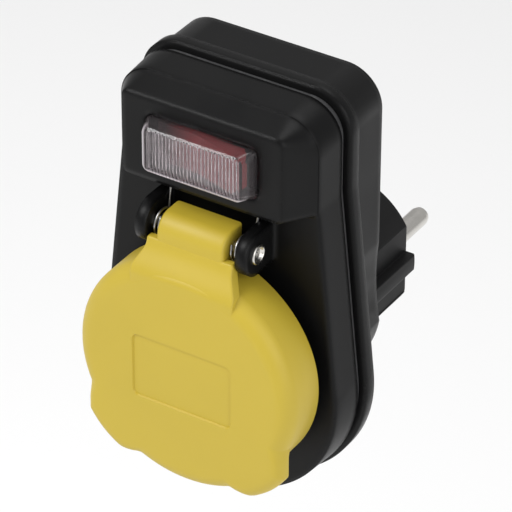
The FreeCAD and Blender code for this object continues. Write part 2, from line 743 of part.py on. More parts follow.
def make_shell_seal(doc, d):
    body = new_body(doc, "shell_seal")
    ring = outline_sketch(
        body, "SealOutline", "XZ_Plane", d.collar_front,
        housing_outline(d, d.seal_inset), housing_outline(d, d.seal_inset + d.seal_width))
    pad(body, "Ring", ring, d.groove_width)
    return body


def make_housing_screws(doc, d):
    """Four equal screws, each a head and a shank."""
    screws = []
    for number, (x, z) in enumerate(post_places(d), start=1):
        head = doc.addObject("Part::Prism", "ScrewHead%d" % number)
        head.setExpression("Polygon", d.screw_head_sides.text)
        head.setExpression("Circumradius", d.screw_head_radius.text)
        head.setExpression("Height", d.screw_head_depth.text)
        shank = doc.addObject("Part::Prism", "ScrewShank%d" % number)
        shank.setExpression("Polygon", d.post_sides.text)
        shank.setExpression("Circumradius", d.screw_radius.text)
        shank.setExpression("Height", d.screw_length.text)
        for piece, level in ((head, d.screw_seat - d.screw_head_depth), (shank, d.screw_seat)):
            piece.Placement = Placement(Vector(), Rotation(Vector(1, 0, 0), 90))
            place(piece, x, -level, z)
        screw = doc.addObject("Part::Fuse", "Screw%d" % number)
        screw.Base = head
        screw.Tool = shank
        screws.append(screw)
    group = doc.addObject("Part::Compound", "housing_screws")
    group.Links = screws
    return group


# Plug

def make_plug_insert(doc, d):
    body = new_body(doc, "plug_insert")
    outside = circle_sketch(body, "PlugCircle", "XZ_Plane", 0.0, (0, 0, d.plug_radius))
    plug = pad(body, "Plug", outside, d.rear)
    bevel_edges(body, "PlugEdge", plug, d.plug_edge, lambda edge: lies_at_level(edge, Size.of(0.0)))
    spigot = circle_sketch(body, "SpigotCircle", "XZ_Plane", d.rear, (0, 0, d.spigot_radius))
    pad(body, "Spigot", spigot, d.spigot_length)
    notches = []
    for side in (-1, 1):
        for half in (-1, 1):
            inner, outer = side * d.plug_flat, side * (d.plug_radius + d.wall)
            low, high = half * d.key_half_height, half * d.notch_top
            notches.append(plain_box(inner, outer, low, high))
    sides = outline_sketch(body, "NotchOutline", "XZ_Plane", 0.0, *notches)
    pocket(body, "Notches", sides, d.notch_length, reverse=True)
    slots = outline_sketch(
        body, "EarthSlotOutline", "XZ_Plane", 0.0,
        *[plain_box(-d.earth_slot_half_width, d.earth_slot_half_width,
                    half * d.earth_slot_floor, half * (d.plug_radius + d.wall)) for half in (-1, 1)])
    pocket(body, "EarthSlots", slots, d.through, reverse=True)
    hole_radius = d.pin_shank_radius + d.press_gap
    circles = circle_sketch(
        body, "PinCircles", "XZ_Plane", 0.0,
        *[(side * d.pin_offset, 0, hole_radius) for side in (-1, 1)])
    holes = pocket(body, "PinHoles", circles, d.through, reverse=True)
    mouth = d.pin_radius - d.pin_shank_radius + d.seat_gap
    bevel_edges(body, "PinMouths", holes, mouth,
                lambda edge: lies_at_level(edge, Size.of(0.0)) and has_radius(edge, hole_radius))
    return body


def make_plug_pin(doc, d, label, side):
    """Round pin with a thinner shank in the insert, whose hole opens in a cone round the shoulder."""
    body = new_body(doc, label)
    profile = Outline(0.0, -d.strap_level)
    profile.line(d.pin_shank_radius, -d.strap_level)
    profile.line(d.pin_shank_radius, 0.0)
    profile.line(d.pin_radius, 0.0)
    profile.line(d.pin_radius, d.pin_length - d.pin_radius)
    rounded_end(profile, d.pin_radius, d.pin_radius, d.pin_length, whole(d.pin_nose_flats))
    revolve(body, "Pin", outline_sketch(body, "PinProfile", "XY_Plane", 0.0, profile.close()))
    place(body, side * d.pin_offset)
    return body


def make_plug_earth_clip(doc, d):
    """A bent strip: two bowed contact tongues on one bar behind the insert."""
    body = new_body(doc, "plug_earth_clip")
    low = d.earth_slot_floor + d.seat_gap
    high = low + d.clip_thickness
    tip = -d.plug_clip_start
    foot = tip - d.plug_clip_bow
    strip = Outline(tip, high)
    strip.arc(foot, high, d.plug_clip_radius)
    strip.line(-d.strap_level - d.clip_thickness, high)
    strip.line(-d.strap_level - d.clip_thickness, -high)
    strip.line(foot, -high)
    strip.arc(tip, -high, d.plug_clip_radius)
    strip.line(tip, -low)
    strip.arc(foot, -low, d.plug_clip_radius, False)
    strip.line(-d.strap_level, -low)
    strip.line(-d.strap_level, low)
    strip.line(foot, low)
    strip.arc(tip, low, d.plug_clip_radius, False)
    sketch = outline_sketch(body, "ClipOutline", "YZ_Plane", 0.0, strip.close())
    pad(body, "Clip", sketch, 2 * d.clip_half_width, symmetric=True)
    return body


def make_earth_rod(doc, d):
    body = new_body(doc, "earth_rod")
    circle = circle_sketch(body, "RodCircle", "XZ_Plane", d.strap_level + d.clip_thickness,
                           (0, 0, d.earth_rod_radius))
    pad(body, "Rod", circle, d.insert_back - d.strap_level - 2 * d.clip_thickness)
    return body


# Socket

def guide_outline(d, side, half):
    """Rib that guides a plug's side notch, rooted inside the round wall."""
    reach = d.well_radius + 0.5 * d.well_wall
    low, high = d.guide_bottom, d.guide_top
    rib = Outline(side * d.guide_inner, half * low)
    rib.line(side * root(reach * reach - low * low), half * low)
    rib.arc(side * root(reach * reach - high * high), half * high, reach, side * half > 0)
    rib.line(side * d.guide_inner, half * high)
    return rib.close()


def make_socket_insert(doc, d):
    body = new_body(doc, "socket_insert")
    outer = d.well_radius + d.well_wall
    profile = Outline(0.0, -d.insert_back)
    profile.line(outer, -d.insert_back)
    profile.line(outer, -d.insert_rim)
    profile.line(d.well_radius, -d.insert_rim)
    profile.line(d.well_radius, -d.well_bottom)
    profile.line(0.0, -d.well_bottom)
    revolve(body, "Cup", outline_sketch(body, "CupProfile", "XY_Plane", 0.0, profile.close()))
    flange = outline_sketch(body, "FlangeOutline", "XZ_Plane", d.face_inside - d.insert_flange_depth,
                            flat_sided(d, 0.0, 0.0, d.insert_flange_radius))
    draw_circle(flange, 0.0, 0.0, d.well_radius + 0.5 * d.well_wall)
    pad(body, "Flange", flange, d.insert_flange_depth)
    guides = [guide_outline(d, side, half) for side in (-1, 1) for half in (-1, 1)]
    ribs = outline_sketch(body, "GuideOutline", "XZ_Plane", d.well_bottom - 0.5 * d.well_floor, *guides)
    pad(body, "GuideRibs", ribs, d.well_depth - d.well_wall + 0.5 * d.well_floor)
    holes = circle_sketch(
        body, "ApertureCircles", "XZ_Plane", d.insert_back,
        *[(side * d.pin_offset, 0, d.aperture_radius) for side in (-1, 1)])
    pocket(body, "Apertures", holes, 2 * d.well_floor, reverse=True)
    reach = d.clip_half_width + d.clip_gap
    slots = outline_sketch(
        body, "ClipSlotOutline", "XZ_Plane", d.insert_back,
        *[plain_box(-reach, reach, half * (d.clip_height - d.clip_thickness - d.clip_gap),
                    half * (d.clip_height + d.clip_gap)) for half in (-1, 1)])
    pocket(body, "ClipSlots", slots, 2 * d.well_floor, reverse=True)
    return body


def make_socket_earth_clip(doc, d):
    """A bent strip: two springy arms that bow into the well, on one bar behind its floor."""
    body = new_body(doc, "socket_earth_clip")
    back = -(d.insert_back - d.clip_thickness)
    foot = -(d.well_bottom + d.socket_clip_start)
    tip = foot - d.socket_clip_bow
    high = d.clip_height
    low = d.clip_height - d.clip_thickness
    strip = Outline(back, -high)
    strip.line(back, high)
    strip.line(foot, high)
    strip.arc(tip, high, d.socket_clip_radius, False)
    strip.line(tip, low)
    strip.arc(foot, low, d.socket_clip_radius)
    strip.line(-d.insert_back, low)
    strip.line(-d.insert_back, -low)
    strip.line(foot, -low)
    strip.arc(tip, -low, d.socket_clip_radius)
    strip.line(tip, -high)
    strip.arc(foot, -high, d.socket_clip_radius, False)
    sketch = outline_sketch(body, "ClipOutline", "YZ_Plane", 0.0, strip.close())
    pad(body, "Clip", sketch, 2 * d.clip_half_width, symmetric=True)
    return body


def make_sleeve(doc, d, label, side):
    """A slit tube that grips a pin."""
    body = new_body(doc, label)
    tube = circle_sketch(body, "TubeCircles", "XZ_Plane", d.sleeve_back,
                         (0, 0, d.sleeve_bore), (0, 0, d.sleeve_bore + d.sleeve_wall))
    pad(body, "Tube", tube, d.sleeve_length)
    half = d.sleeve_slit / 2
    slit = outline_sketch(body, "SlitOutline", "XZ_Plane", d.insert_back,
                          plain_box(-half, half, 0.5 * d.sleeve_bore, 2 * d.sleeve_bore))
    pocket(body, "Slit", slit, d.sleeve_slit_length)
    place(body, side * d.pin_offset)
    return body


# Conductors

def strap_top(d):
    return d.block_height + d.strap_overrun


def make_live_inlet_strap(doc, d):
    """From the right pin up to the switch's middle terminal."""
    body = new_body(doc, "live_inlet_strap")
    half = d.strap_half_width
    bend = d.block_height - d.strap_bend
    strap = Outline(d.pin_offset - half, -d.strap_foot)
    strap.line(d.pin_offset + half, -d.strap_foot)
    strap.line(d.pin_offset + half, bend)
    strap.line(half, bend)
    strap.line(half, strap_top(d))
    strap.line(-half, strap_top(d))
    strap.line(-half, bend - 2 * half)
    strap.line(d.pin_offset - half, bend - 2 * half)
    pad(body, "Strap", outline_sketch(body, "StrapOutline", "XZ_Plane", d.strap_level, strap.close()),
        d.strap_thickness)
    return body


def make_live_outlet_strap(doc, d):
    """From the right sleeve up to the switch's right terminal."""
    body = new_body(doc, "live_outlet_strap")
    half = d.strap_half_width
    strap = plain_box(d.pin_offset - half, d.pin_offset + half, -d.strap_foot, strap_top(d))
    pad(body, "Strap",
        outline_sketch(body, "StrapOutline", "XZ_Plane", d.sleeve_back - d.strap_thickness, strap),
        d.strap_thickness)
    return body


def make_neutral_strap(doc, d):
    """From the left pin up to the lamp terminal, with a stud to the left sleeve."""
    body = new_body(doc, "neutral_strap")
    half = d.strap_half_width
    strap = plain_box(-d.pin_offset - half, half - d.pin_offset, -d.strap_foot, strap_top(d))
    pad(body, "Strap", outline_sketch(body, "StrapOutline", "XZ_Plane", d.strap_level, strap),
        d.strap_thickness)
    stud = circle_sketch(body, "StudCircle", "XZ_Plane", d.strap_level, (-d.pin_offset, 0, d.stud_radius))
    pad(body, "Stud", stud, d.sleeve_back - d.strap_level)
    return body


def make_terminal(doc, d, label, x, front, back):
    body = new_body(doc, label)
    half = d.terminal_thickness / 2
    blade = plain_box(x - d.terminal_half_width, x + d.terminal_half_width,
                      d.block_height - half, d.block_height + half)
    pad(body, "Blade", outline_sketch(body, "BladeOutline", "XZ_Plane", back, blade), front - back)
    return body


# Switch

def make_switch_boot(doc, d):
    """Clear cap over the rocker, with fine upright ribs across its front."""
    body = new_body(doc, "switch_boot")

    def box(name, level, inset, half_width, half_height, corner):
        outline = rounded_box(half_width - inset, d.block_height - half_height + inset,
                              d.block_height + half_height - inset, corner, corner)
        return outline_sketch(body, name, "XZ_Plane", level, outline)

    flange = box("FlangeOutline", d.boot_seat, -d.boot_flange, d.boot_half_width, d.boot_half_height,
                 d.boot_corner)
    pad(body, "Flange", flange, d.boot_flange_depth)
    neck = box("NeckOutline", d.boot_seat, 0.0, d.boot_half_width, d.boot_half_height, d.boot_corner)
    pad(body, "Neck", neck, d.block_face - d.boot_seat)
    foot = box("FootOutline", d.block_face, 0.0, d.boot_half_width, d.boot_half_height,
               d.boot_corner)
    front = box("FrontOutline", d.boot_front, 0.0, d.boot_top_half_width,
                d.boot_top_half_height, d.boot_corner)
    cap = loft(body, "AdditiveLoft", "Cap", foot, front)
    bevel_edges(body, "CapEdge", cap, d.boot_edge, lambda edge: lies_at_level(edge, d.boot_front))
    corner = d.boot_corner - d.boot_wall
    mouth = box("MouthOutline", d.boot_seat, d.boot_wall, d.boot_half_width, d.boot_half_height, corner)
    pocket(body, "Mouth", mouth, d.block_face - d.boot_seat, reverse=True)
    inner_foot = box("InnerFootOutline", d.block_face, d.boot_wall, d.boot_half_width,
                     d.boot_half_height, corner)
    inner_front = box("InnerFrontOutline", d.boot_front - d.boot_wall, d.boot_wall,
                      d.boot_top_half_width, d.boot_top_half_height, corner)
    loft(body, "SubtractiveLoft", "Inside", inner_foot, inner_front)
    cut_rib_grooves(body, d)
    return body


def cut_rib_grooves(body, d):
    """V grooves in a row, so that ribs stand between them."""
    first = -0.5 * (d.rib_count - 1) * d.rib_pitch
    half = d.rib_groove_half_width
    front = -d.boot_front
    groove = Outline(first - half, front - d.rib_groove)
    groove.line(first + half, front - d.rib_groove)
    groove.line(first, front + d.rib_groove)
    sketch = outline_sketch(body, "GrooveOutline", "XY_Plane", d.block_height, groove.close())
    cut = pocket(body, "Groove", sketch, d.through, symmetric=True)
    body.Document.recompute()
    row = body.newObject("PartDesign::LinearPattern", "Grooves")
    row.Originals = [cut]
    row.Direction = (sketch, ["H_Axis"])
    row.setExpression("Length", ((d.rib_count - 1) * d.rib_pitch).text)
    row.setExpression("Occurrences", d.rib_count.text)
    body.Tip = row


def make_boot_frame(doc, d):
    """Frame behind the boot's flange that presses it against the block."""
    body = new_body(doc, "boot_frame")
    half_width = d.block_hollow_half_width - d.seat_gap
    half_height = d.block_hollow_half_height - d.seat_gap
    outer = rounded_box(half_width, d.block_height - half_height, d.block_height + half_height,
                        d.block_face_corner, d.block_face_corner)
    gap_width = d.switch_half_width + d.seat_gap
    gap_height = d.switch_half_height + d.seat_gap
    inner = plain_box(-gap_width, gap_width, d.block_height - gap_height, d.block_height + gap_height)
    sketch = outline_sketch(body, "FrameOutline", "XZ_Plane", d.boot_seat - d.frame_depth, outer, inner)
    pad(body, "Frame", sketch, d.frame_depth)
    return body


def make_switch_body(doc, d):
    body = new_body(doc, "switch_body")
    middle = d.block_height
    outer = plain_box(-d.switch_half_width, d.switch_half_width,
                      middle - d.switch_half_height, middle + d.switch_half_height)
    pad(body, "Block", outline_sketch(body, "BlockOutline", "XZ_Plane", d.switch_back, outer),
        d.switch_depth)
    inner = plain_box(-d.rocker_well_half_width, d.rocker_well_half_width,
                      middle - d.rocker_well_half_height, middle + d.rocker_well_half_height)
    pocket(body, "RockerWell", outline_sketch(body, "WellOutline", "XZ_Plane", d.switch_front, inner),
           d.rocker_well_depth)
    pivot = circle_sketch(body, "PivotCircle", "XY_Plane", middle,
                          (0, -d.pivot_level, d.trunnion_radius + d.running_gap))
    pocket(body, "PivotHoles", pivot, 2 * (trunnion_reach(d) + d.seat_gap), symmetric=True)
    half_width = d.terminal_half_width + d.seat_gap
    half_height = d.terminal_thickness / 2 + d.seat_gap
    slots = outline_sketch(
        body, "SlotOutline", "XZ_Plane", d.switch_back,
        *[plain_box(place_x * d.terminal_spacing - half_width, place_x * d.terminal_spacing + half_width,
                    middle - half_height, middle + half_height) for place_x in (-1, 0, 1)])
    pocket(body, "TerminalSlots", slots, d.switch_depth - d.rocker_well_depth, reverse=True)
    return body


def trunnion_reach(d):
    return 0.5 * (d.rocker_well_half_height + d.switch_half_height)


def seat_on_rocker(item, d):
    """Turns a piece of the rocker about the pivot to the rocker's place at rest."""
    item.Placement = Placement(Vector(), Rotation(Vector(0, 0, 1), 0))
    place(item, 0, -d.pivot_level, d.block_height)
    item.setExpression("Placement.Rotation.Angle", (-d.rocker_tilt).text)


def lens_profile(d, inset, back):
    """The rocker's side view: two sloping halves that meet in a shallow dip."""
    end = d.rocker_half_length - inset
    front = -(d.rocker_end_rise - inset)
    profile = Outline(-end, back)
    profile.line(end, back)
    profile.line(end, front + d.lens_corner)
    profile.arc(end - d.lens_corner, front, d.lens_corner, False)
    profile.line(0.0, front + d.rocker_dip)
    profile.line(d.lens_corner - end, front)
    profile.arc(-end, front + d.lens_corner, d.lens_corner, False)
    return profile.close()


def make_rocker_lens(doc, d):
    body = new_body(doc, "rocker_lens")
    back = d.lens_depth - d.rocker_end_rise
    outer = outline_sketch(body, "LensOutline", "XY_Plane", 0.0, lens_profile(d, 0.0, back))
    pad(body, "Lens", outer, 2 * d.rocker_half_height, symmetric=True)
    inner = outline_sketch(body, "InsideOutline", "XY_Plane", 0.0,
                           lens_profile(d, d.lens_wall, back + d.seat_gap))
    pocket(body, "Inside", inner, 2 * (d.rocker_half_height - d.lens_wall), symmetric=True)
    seat_on_rocker(body, d)
    return body


def make_rocker_base(doc, d):
    body = new_body(doc, "rocker_base")
    front = d.lens_depth - d.rocker_end_rise
    profile = Outline(-d.rocker_half_length, front)
    profile.line(d.rocker_half_length, front)
    profile.line(d.rocker_half_length, -d.rocker_shoulder)
    profile.line(d.rocker_foot, d.rocker_base_back)
    profile.line(-d.rocker_foot, d.rocker_base_back)
    profile.line(-d.rocker_half_length, -d.rocker_shoulder)
    sketch = outline_sketch(body, "BaseOutline", "XY_Plane", 0.0, profile.close())
    pad(body, "Base", sketch, 2 * d.rocker_half_height, symmetric=True)
    axle = circle_sketch(body, "AxleCircle", "XY_Plane", 0.0, (0, 0, d.trunnion_radius))
    pad(body, "Trunnions", axle, 2 * trunnion_reach(d), symmetric=True)
    bore = circle_sketch(body, "BoreCircle", "XZ_Plane", -d.rocker_base_back,
                         (0, 0, d.plunger_radius + d.running_gap))
    pocket(body, "PlungerBore", bore, d.rocker_base_back + d.bore_floor, reverse=True)
    seat_on_rocker(body, d)
    return body


def make_plunger(doc, d):
    body = new_body(doc, "rocker_plunger")
    radius = d.plunger_radius
    profile = Outline(0.0, d.plunger_start)
    profile.line(radius, d.plunger_start)
    profile.line(radius, d.plunger_reach - radius)
    rounded_end(profile, radius, radius, d.plunger_reach, whole(d.plunger_nose_flats))
    revolve(body, "Plunger", outline_sketch(body, "PlungerProfile", "XY_Plane", 0.0, profile.close()))
    seat_on_rocker(body, d)
    return body


def make_rocker_cylinder(doc, d, label, radius, start, length):
    """A small round piece that lies along the rocker under its lens."""
    body = new_body(doc, label)
    seat = d.lens_depth - d.rocker_end_rise - radius - 0.5 * d.seat_gap
    circle = circle_sketch(body, "RoundCircle", "YZ_Plane", start, (seat, 0, radius))
    pad(body, "Round", circle, length)
    seat_on_rocker(body, d)
    return body


def make_moving_contact(doc, d):
    """A shallow V of strip that rocks on the middle terminal."""
    body = new_body(doc, "moving_contact")
    rise = d.seesaw_rise
    end = d.seesaw_half_length
    back = d.seesaw_seat
    front = back - d.seesaw_thickness
    profile = Outline(0.0, back)
    profile.line(end, back - rise)
    profile.line(end, front - rise)
    profile.line(0.0, front)
    profile.line(-end, front - rise)
    profile.line(-end, back - rise)
    sketch = outline_sketch(body, "ContactOutline", "XY_Plane", 0.0, profile.close())
    pad(body, "Contact", sketch, 2 * d.seesaw_half_width, symmetric=True)
    body.Placement = Placement(Vector(), Rotation(Vector(0, 0, 1), 0))
    place(body, 0, -d.seesaw_level, d.block_height)
    body.setExpression("Placement.Rotation.Angle", d.seesaw_tilt.text)
    return body


# Lid and hinge

def lobe_point(d, angle, reach):
    """A point at an angle from straight down about the lid's middle."""
    return reach * sine(angle), d.lid_height - reach * cosine(angle)


def lobe_outline(d, inset):
    """Lower edge of the lid: a waist between two finger lobes."""
    waist_end = lobe_point(d, d.lobe_start_angle - d.lobe_run_in_angle, d.lobe_waist - inset)
    lobe_from = lobe_point(d, d.lobe_start_angle, d.lobe_radius - inset)
    reach, low = lobe_point(d, d.lobe_end_angle, d.lobe_radius)
    corner = (1 - sine(d.lobe_end_angle)) / cosine(d.lobe_end_angle)
    shoulder = d.lid_height - d.lobe_root
    right = Outline(0.0, d.lid_height - d.lobe_waist + inset)
    right.arc(*waist_end, d.lobe_waist - inset)
    right.arc(*lobe_from, d.lobe_hollow + inset, False)
    right.arc(reach - inset, low + inset * corner, d.lobe_nose - inset)
    right.line(reach - inset, shoulder - inset)
    right.line(0.0, shoulder - inset)
    return right.mirror_and_close()


def make_lid(doc, d):
    body = new_body(doc, "lid")
    slope = d.lid_level - d.lobe_bevel
    flat = Size.of(0.0)
    back = outline_sketch(body, "LobeBack", "XZ_Plane", d.lid_level - d.lobe_thickness, lobe_outline(d, flat))
    pad(body, "Lobes", back, d.lobe_thickness - d.lobe_bevel)
    foot = outline_sketch(body, "LobeFoot", "XZ_Plane", slope, lobe_outline(d, flat))
    front = outline_sketch(body, "LobeFront", "XZ_Plane", d.lid_level, lobe_outline(d, d.lobe_bevel))
    loft(body, "AdditiveLoft", "LobeEdge", foot, front)
    profile = Outline(0.0, d.lid_rim)
    profile.line(d.lid_radius, d.lid_rim)
    profile.line(d.lid_radius, d.lid_level - d.lid_edge_radius)
    rounded_end(profile, d.lid_edge_radius, d.lid_radius, d.lid_level, whole(d.lid_edge_flats))
    profile.line(0.0, d.lid_level)
    disc = outline_sketch(body, "DiscProfile", "XY_Plane", d.lid_height, forward(profile.close()))
    revolve(body, "Disc", disc)
    add_neck(body, d)
    cavity = circle_sketch(body, "CavityCircle", "XZ_Plane", d.lid_rim,
                           (0, d.lid_height, d.lid_radius - d.lid_wall))
    pocket(body, "Cavity", cavity, d.lid_depth - d.lid_wall, reverse=True)
    bore = circle_sketch(body, "PinCircle", "YZ_Plane", 0.0,
                         (-d.hinge_level, d.hinge_height, d.hinge_pin_radius + d.running_gap))
    pocket(body, "PinBore", bore, d.through, symmetric=True)
    middle = d.lid_height - d.panel_drop
    panel = outline_sketch(
        body, "PanelOutline", "XZ_Plane", d.lid_level,
        rounded_box(d.panel_half_width, middle - d.panel_half_height, middle + d.panel_half_height,
                    d.panel_corner, d.panel_corner))
    pocket(body, "Panel", panel, d.panel_depth)
    return body


def add_neck(body, d):
    """Plate in front of the ears, its sloping root on the lid, and the barrel on the pin."""
    low = d.lid_height + d.lid_radius - d.lid_edge_radius
    plate = outline_sketch(
        body, "NeckOutline", "XZ_Plane", d.neck_front - d.neck_thickness,
        plain_box(-d.neck_half_width, d.neck_half_width, low, d.hinge_height - d.neck_drop))
    pad(body, "Neck", plate, d.neck_thickness)
    top = d.lid_height + d.wedge_foot
    back = outline_sketch(
        body, "WedgeBack", "XZ_Plane", d.neck_front - 0.5 * d.neck_thickness,
        plain_box(-d.neck_half_width, d.neck_half_width, d.lid_height, top + d.wedge_rise))
    front = outline_sketch(
        body, "WedgeFront", "XZ_Plane", d.lid_level,
        plain_box(-d.wedge_half_width, d.wedge_half_width, d.lid_height, top))
    loft(body, "AdditiveLoft", "Wedge", back, front)
    barrel = outline_sketch(body, "BarrelOutline", "YZ_Plane", 0.0, barrel_outline(d))
    pad(body, "Barrel", barrel, 2 * d.barrel_half_width, symmetric=True)


def barrel_outline(d):
    """Side view of the barrel: a block with a rounded front edge and a round lower back."""
    top = d.hinge_height + d.barrel_rise
    side = Outline(d.barrel_back - d.hinge_level, top)
    side.line(d.barrel_edge - d.neck_front, top)
    side.arc(-d.neck_front, top - d.barrel_edge, d.barrel_edge)
    side.line(-d.neck_front, d.hinge_height - d.barrel_back)
    side.line(-d.hinge_level, d.hinge_height - d.barrel_back)
    side.arc(d.barrel_back - d.hinge_level, d.hinge_height, d.barrel_back)
    return side.close()


def make_lid_seal(doc, d):
    body = new_body(doc, "lid_seal")
    outer = d.lid_radius - d.lid_wall - d.seat_gap
    ring = circle_sketch(body, "RingCircles", "XZ_Plane", d.lid_inside - d.lid_seal_depth,
                         (0, d.lid_height, outer), (0, 0, d.lid_seal_inner_radius))
    pad(body, "Ring", ring, d.lid_seal_depth)
    return body


def make_hinge_pin(doc, d):
    """Pin with a rolled end outside each ear and a shallow hollow in each end."""
    body = new_body(doc, "hinge_pin")
    end = d.ear_outside + d.hinge_head_depth
    floor = end - d.hinge_recess_depth
    profile = Outline(-floor, 0.0)
    profile.line(floor, 0.0)
    profile.line(floor, d.hinge_recess_radius)
    profile.line(end, d.hinge_recess_radius)
    profile.line(end, d.hinge_head_radius)
    profile.line(d.ear_outside, d.hinge_head_radius)
    profile.line(d.ear_outside, d.hinge_pin_radius)
    profile.line(-d.ear_outside, d.hinge_pin_radius)
    profile.line(-d.ear_outside, d.hinge_head_radius)
    profile.line(-end, d.hinge_head_radius)
    profile.line(-end, d.hinge_recess_radius)
    profile.line(-floor, d.hinge_recess_radius)
    sketch = outline_sketch(body, "PinProfile", "XY_Plane", 0.0, profile.close())
    revolve(body, "Pin", sketch, "H_Axis")
    place(body, 0, -d.hinge_level, d.hinge_height)
    return body


def arc_between(start, corner, end):
    """The arc that touches both legs of a corner whose legs are equal."""
    middle = (start + end) / 2
    half_chord = (end - start).Length / 2
    leg = (corner - start).Length
    half_turn = math.acos(min(1.0, half_chord / leg))
    height = (corner - middle).Length
    sagitta = half_chord * math.tan(half_turn / 2)
    return Part.Arc(start, middle + (corner - middle) * (sagitta / height), end).toShape()


def helix_edges(point, tangent, quarters):
    """Two touching arcs for each quarter turn of a helix."""
    edges = []
    for step in range(quarters):
        p0, p1 = point(step), point(step + 1)
        t0, t1 = tangent(step), tangent(step + 1)
        gap = p1 - p0
        both = t0 + t1
        closing = 2 * (1 - t0.dot(t1))
        reach = (math.sqrt(gap.dot(both) ** 2 + closing * gap.dot(gap)) - gap.dot(both)) / closing
        corner0 = p0 + t0 * reach
        corner1 = p1 - t1 * reach
        middle = (corner0 + corner1) / 2
        edges.append(arc_between(p0, corner0, middle))
        edges.append(arc_between(middle, corner1, p1))
    return edges


def helix(radius, pitch, along, first, second):
    """Point and unit tangent of a helix after a number of quarter turns from first to second."""
    climb = pitch / (2 * math.pi)

    def point(quarters):
        angle = quarters * math.pi / 2
        out = first * math.cos(angle) + second * math.sin(angle)
        return along * (climb * angle) + out * radius

    def tangent(quarters):
        angle = quarters * math.pi / 2
        flow = along * climb + (second * math.cos(angle) - first * math.sin(angle)) * radius
        return flow.normalize()

    return point, tangent


def wire_of_flats(edges, start, along, radius, sides):
    """Wire with flat sides, swept along a path of touching lines and arcs."""
    across = along.cross(Vector(1, 0, 0)).normalize()
    aside = along.cross(across)
    corners = []
    for step in range(sides + 1):
        angle = 2 * math.pi * (step + 0.5) / sides
        corners.append(start + (across * math.cos(angle) + aside * math.sin(angle)) * radius)
    return Part.Wire(edges).makePipeShell([Part.makePolygon(corners)], True, False)


def least_gap(path, wire_radius, quarter_length):
    """Least gap of a coil to itself, from points along its path."""
    points = path.discretize(Distance=wire_radius)
    apart = int(1.6 * quarter_length / wire_radius)
    least = min(
        (points[i] - points[j]).Length
        for i in range(len(points)) for j in range(i + apart, len(points)))
    return least - 2 * wire_radius


def make_hinge_spring(doc, d, label, side):
    """Coil round the pin between the barrel and an ear, with a leg up to the block."""
    radius, pitch = d.spring_radius.value, d.spring_pitch.value
    wire_radius = d.spring_wire_radius.value
    quarters = whole(d.spring_quarter_turns)
    leg_top = d.block_low.value - d.spring_end_gap.value - d.hinge_height.value
    leg_back = d.hinge_level.value - d.face.value - d.spring_face_gap.value - wire_radius
    lean = math.acos(radius / math.hypot(leg_back, leg_top)) - math.atan2(leg_top, leg_back)
    first = Vector(0, math.cos(lean), -math.sin(lean))
    second = Vector(0, -math.sin(lean), -math.cos(lean))
    point, tangent = helix(radius, pitch, Vector(-side, 0, 0), first, second)
    edges = helix_edges(point, tangent, quarters)
    leg_length = (leg_top - point(0).z) / -tangent(0).z
    start = point(0) - tangent(0) * leg_length
    end = point(quarters) + tangent(quarters) * d.spring_tail.value
    edges.insert(0, Part.LineSegment(start, point(0)).toShape())
    edges.append(Part.LineSegment(point(quarters), end).toShape())
    gap = least_gap(Part.Wire(edges), wire_radius, radius * math.pi / 2)
    print("%s least gap to itself %.2f mm" % (label, gap))
    inner = d.barrel_half_width.value + d.spring_side_gap.value + wire_radius
    outer = inner + pitch * quarters / 4
    spring = doc.addObject("Part::Feature", label)
    spring.Shape = wire_of_flats(edges, start, tangent(0), wire_radius, whole(d.spring_wire_sides))
    spring.Placement = Placement(
        Vector(side * outer, -d.hinge_level.value, d.hinge_height.value), Rotation())
    return spring


def make_plunger_spring(doc, d):
    """The space of the small coil between the plunger and the end of its bore."""
    body = new_body(doc, "plunger_spring")
    front = d.seat_gap - d.bore_floor
    rings = circle_sketch(body, "CoilCircles", "XZ_Plane", -front, (0, 0, d.coil_radius), (0, 0, d.coil_bore))
    pad(body, "Coil", rings, d.plunger_start - d.seat_gap - front, reverse=True)
    seat_on_rocker(body, d)
    return body


# Assembly

def make_parts(doc, d):
    """Every piece of the adapter, in the order it goes together."""
    contact_top = d.seesaw_level - 2 * d.seat_gap
    tip = d.strap_level + d.strap_thickness
    parts = [
        make_front_shell(doc, d),
        make_rear_shell(doc, d),
        make_shell_seal(doc, d),
        make_housing_screws(doc, d),
        make_plug_insert(doc, d),
        make_plug_pin(doc, d, "left_plug_pin", -1),
        make_plug_pin(doc, d, "right_plug_pin", 1),
        make_plug_earth_clip(doc, d),
        make_earth_rod(doc, d),
        make_socket_insert(doc, d),
        make_socket_earth_clip(doc, d),
        make_sleeve(doc, d, "left_contact_sleeve", -1),
        make_sleeve(doc, d, "right_contact_sleeve", 1),
        make_live_inlet_strap(doc, d),
        make_live_outlet_strap(doc, d),
        make_neutral_strap(doc, d),
        make_terminal(doc, d, "inlet_terminal", 0 * d.terminal_spacing, contact_top, tip),
        make_terminal(doc, d, "outlet_terminal", d.terminal_spacing, d.seesaw_level, d.sleeve_back),
        make_terminal(doc, d, "lamp_terminal", -d.terminal_spacing, contact_top, tip),
        make_switch_boot(doc, d),
        make_boot_frame(doc, d),
        make_switch_body(doc, d),
        make_rocker_lens(doc, d),
        make_rocker_base(doc, d),
        make_plunger(doc, d),
        make_plunger_spring(doc, d),
        make_rocker_cylinder(doc, d, "glow_lamp", d.lamp_radius, d.lamp_start, d.lamp_length),
        make_rocker_cylinder(doc, d, "series_resistor", d.resistor_radius, d.resistor_start,
                             d.resistor_length),
        make_moving_contact(doc, d),
        make_lid(doc, d),
        make_lid_seal(doc, d),
        make_hinge_pin(doc, d),
        make_hinge_spring(doc, d, "left_hinge_spring", -1),
        make_hinge_spring(doc, d, "right_hinge_spring", 1),
    ]
    doc.recompute()
    return parts


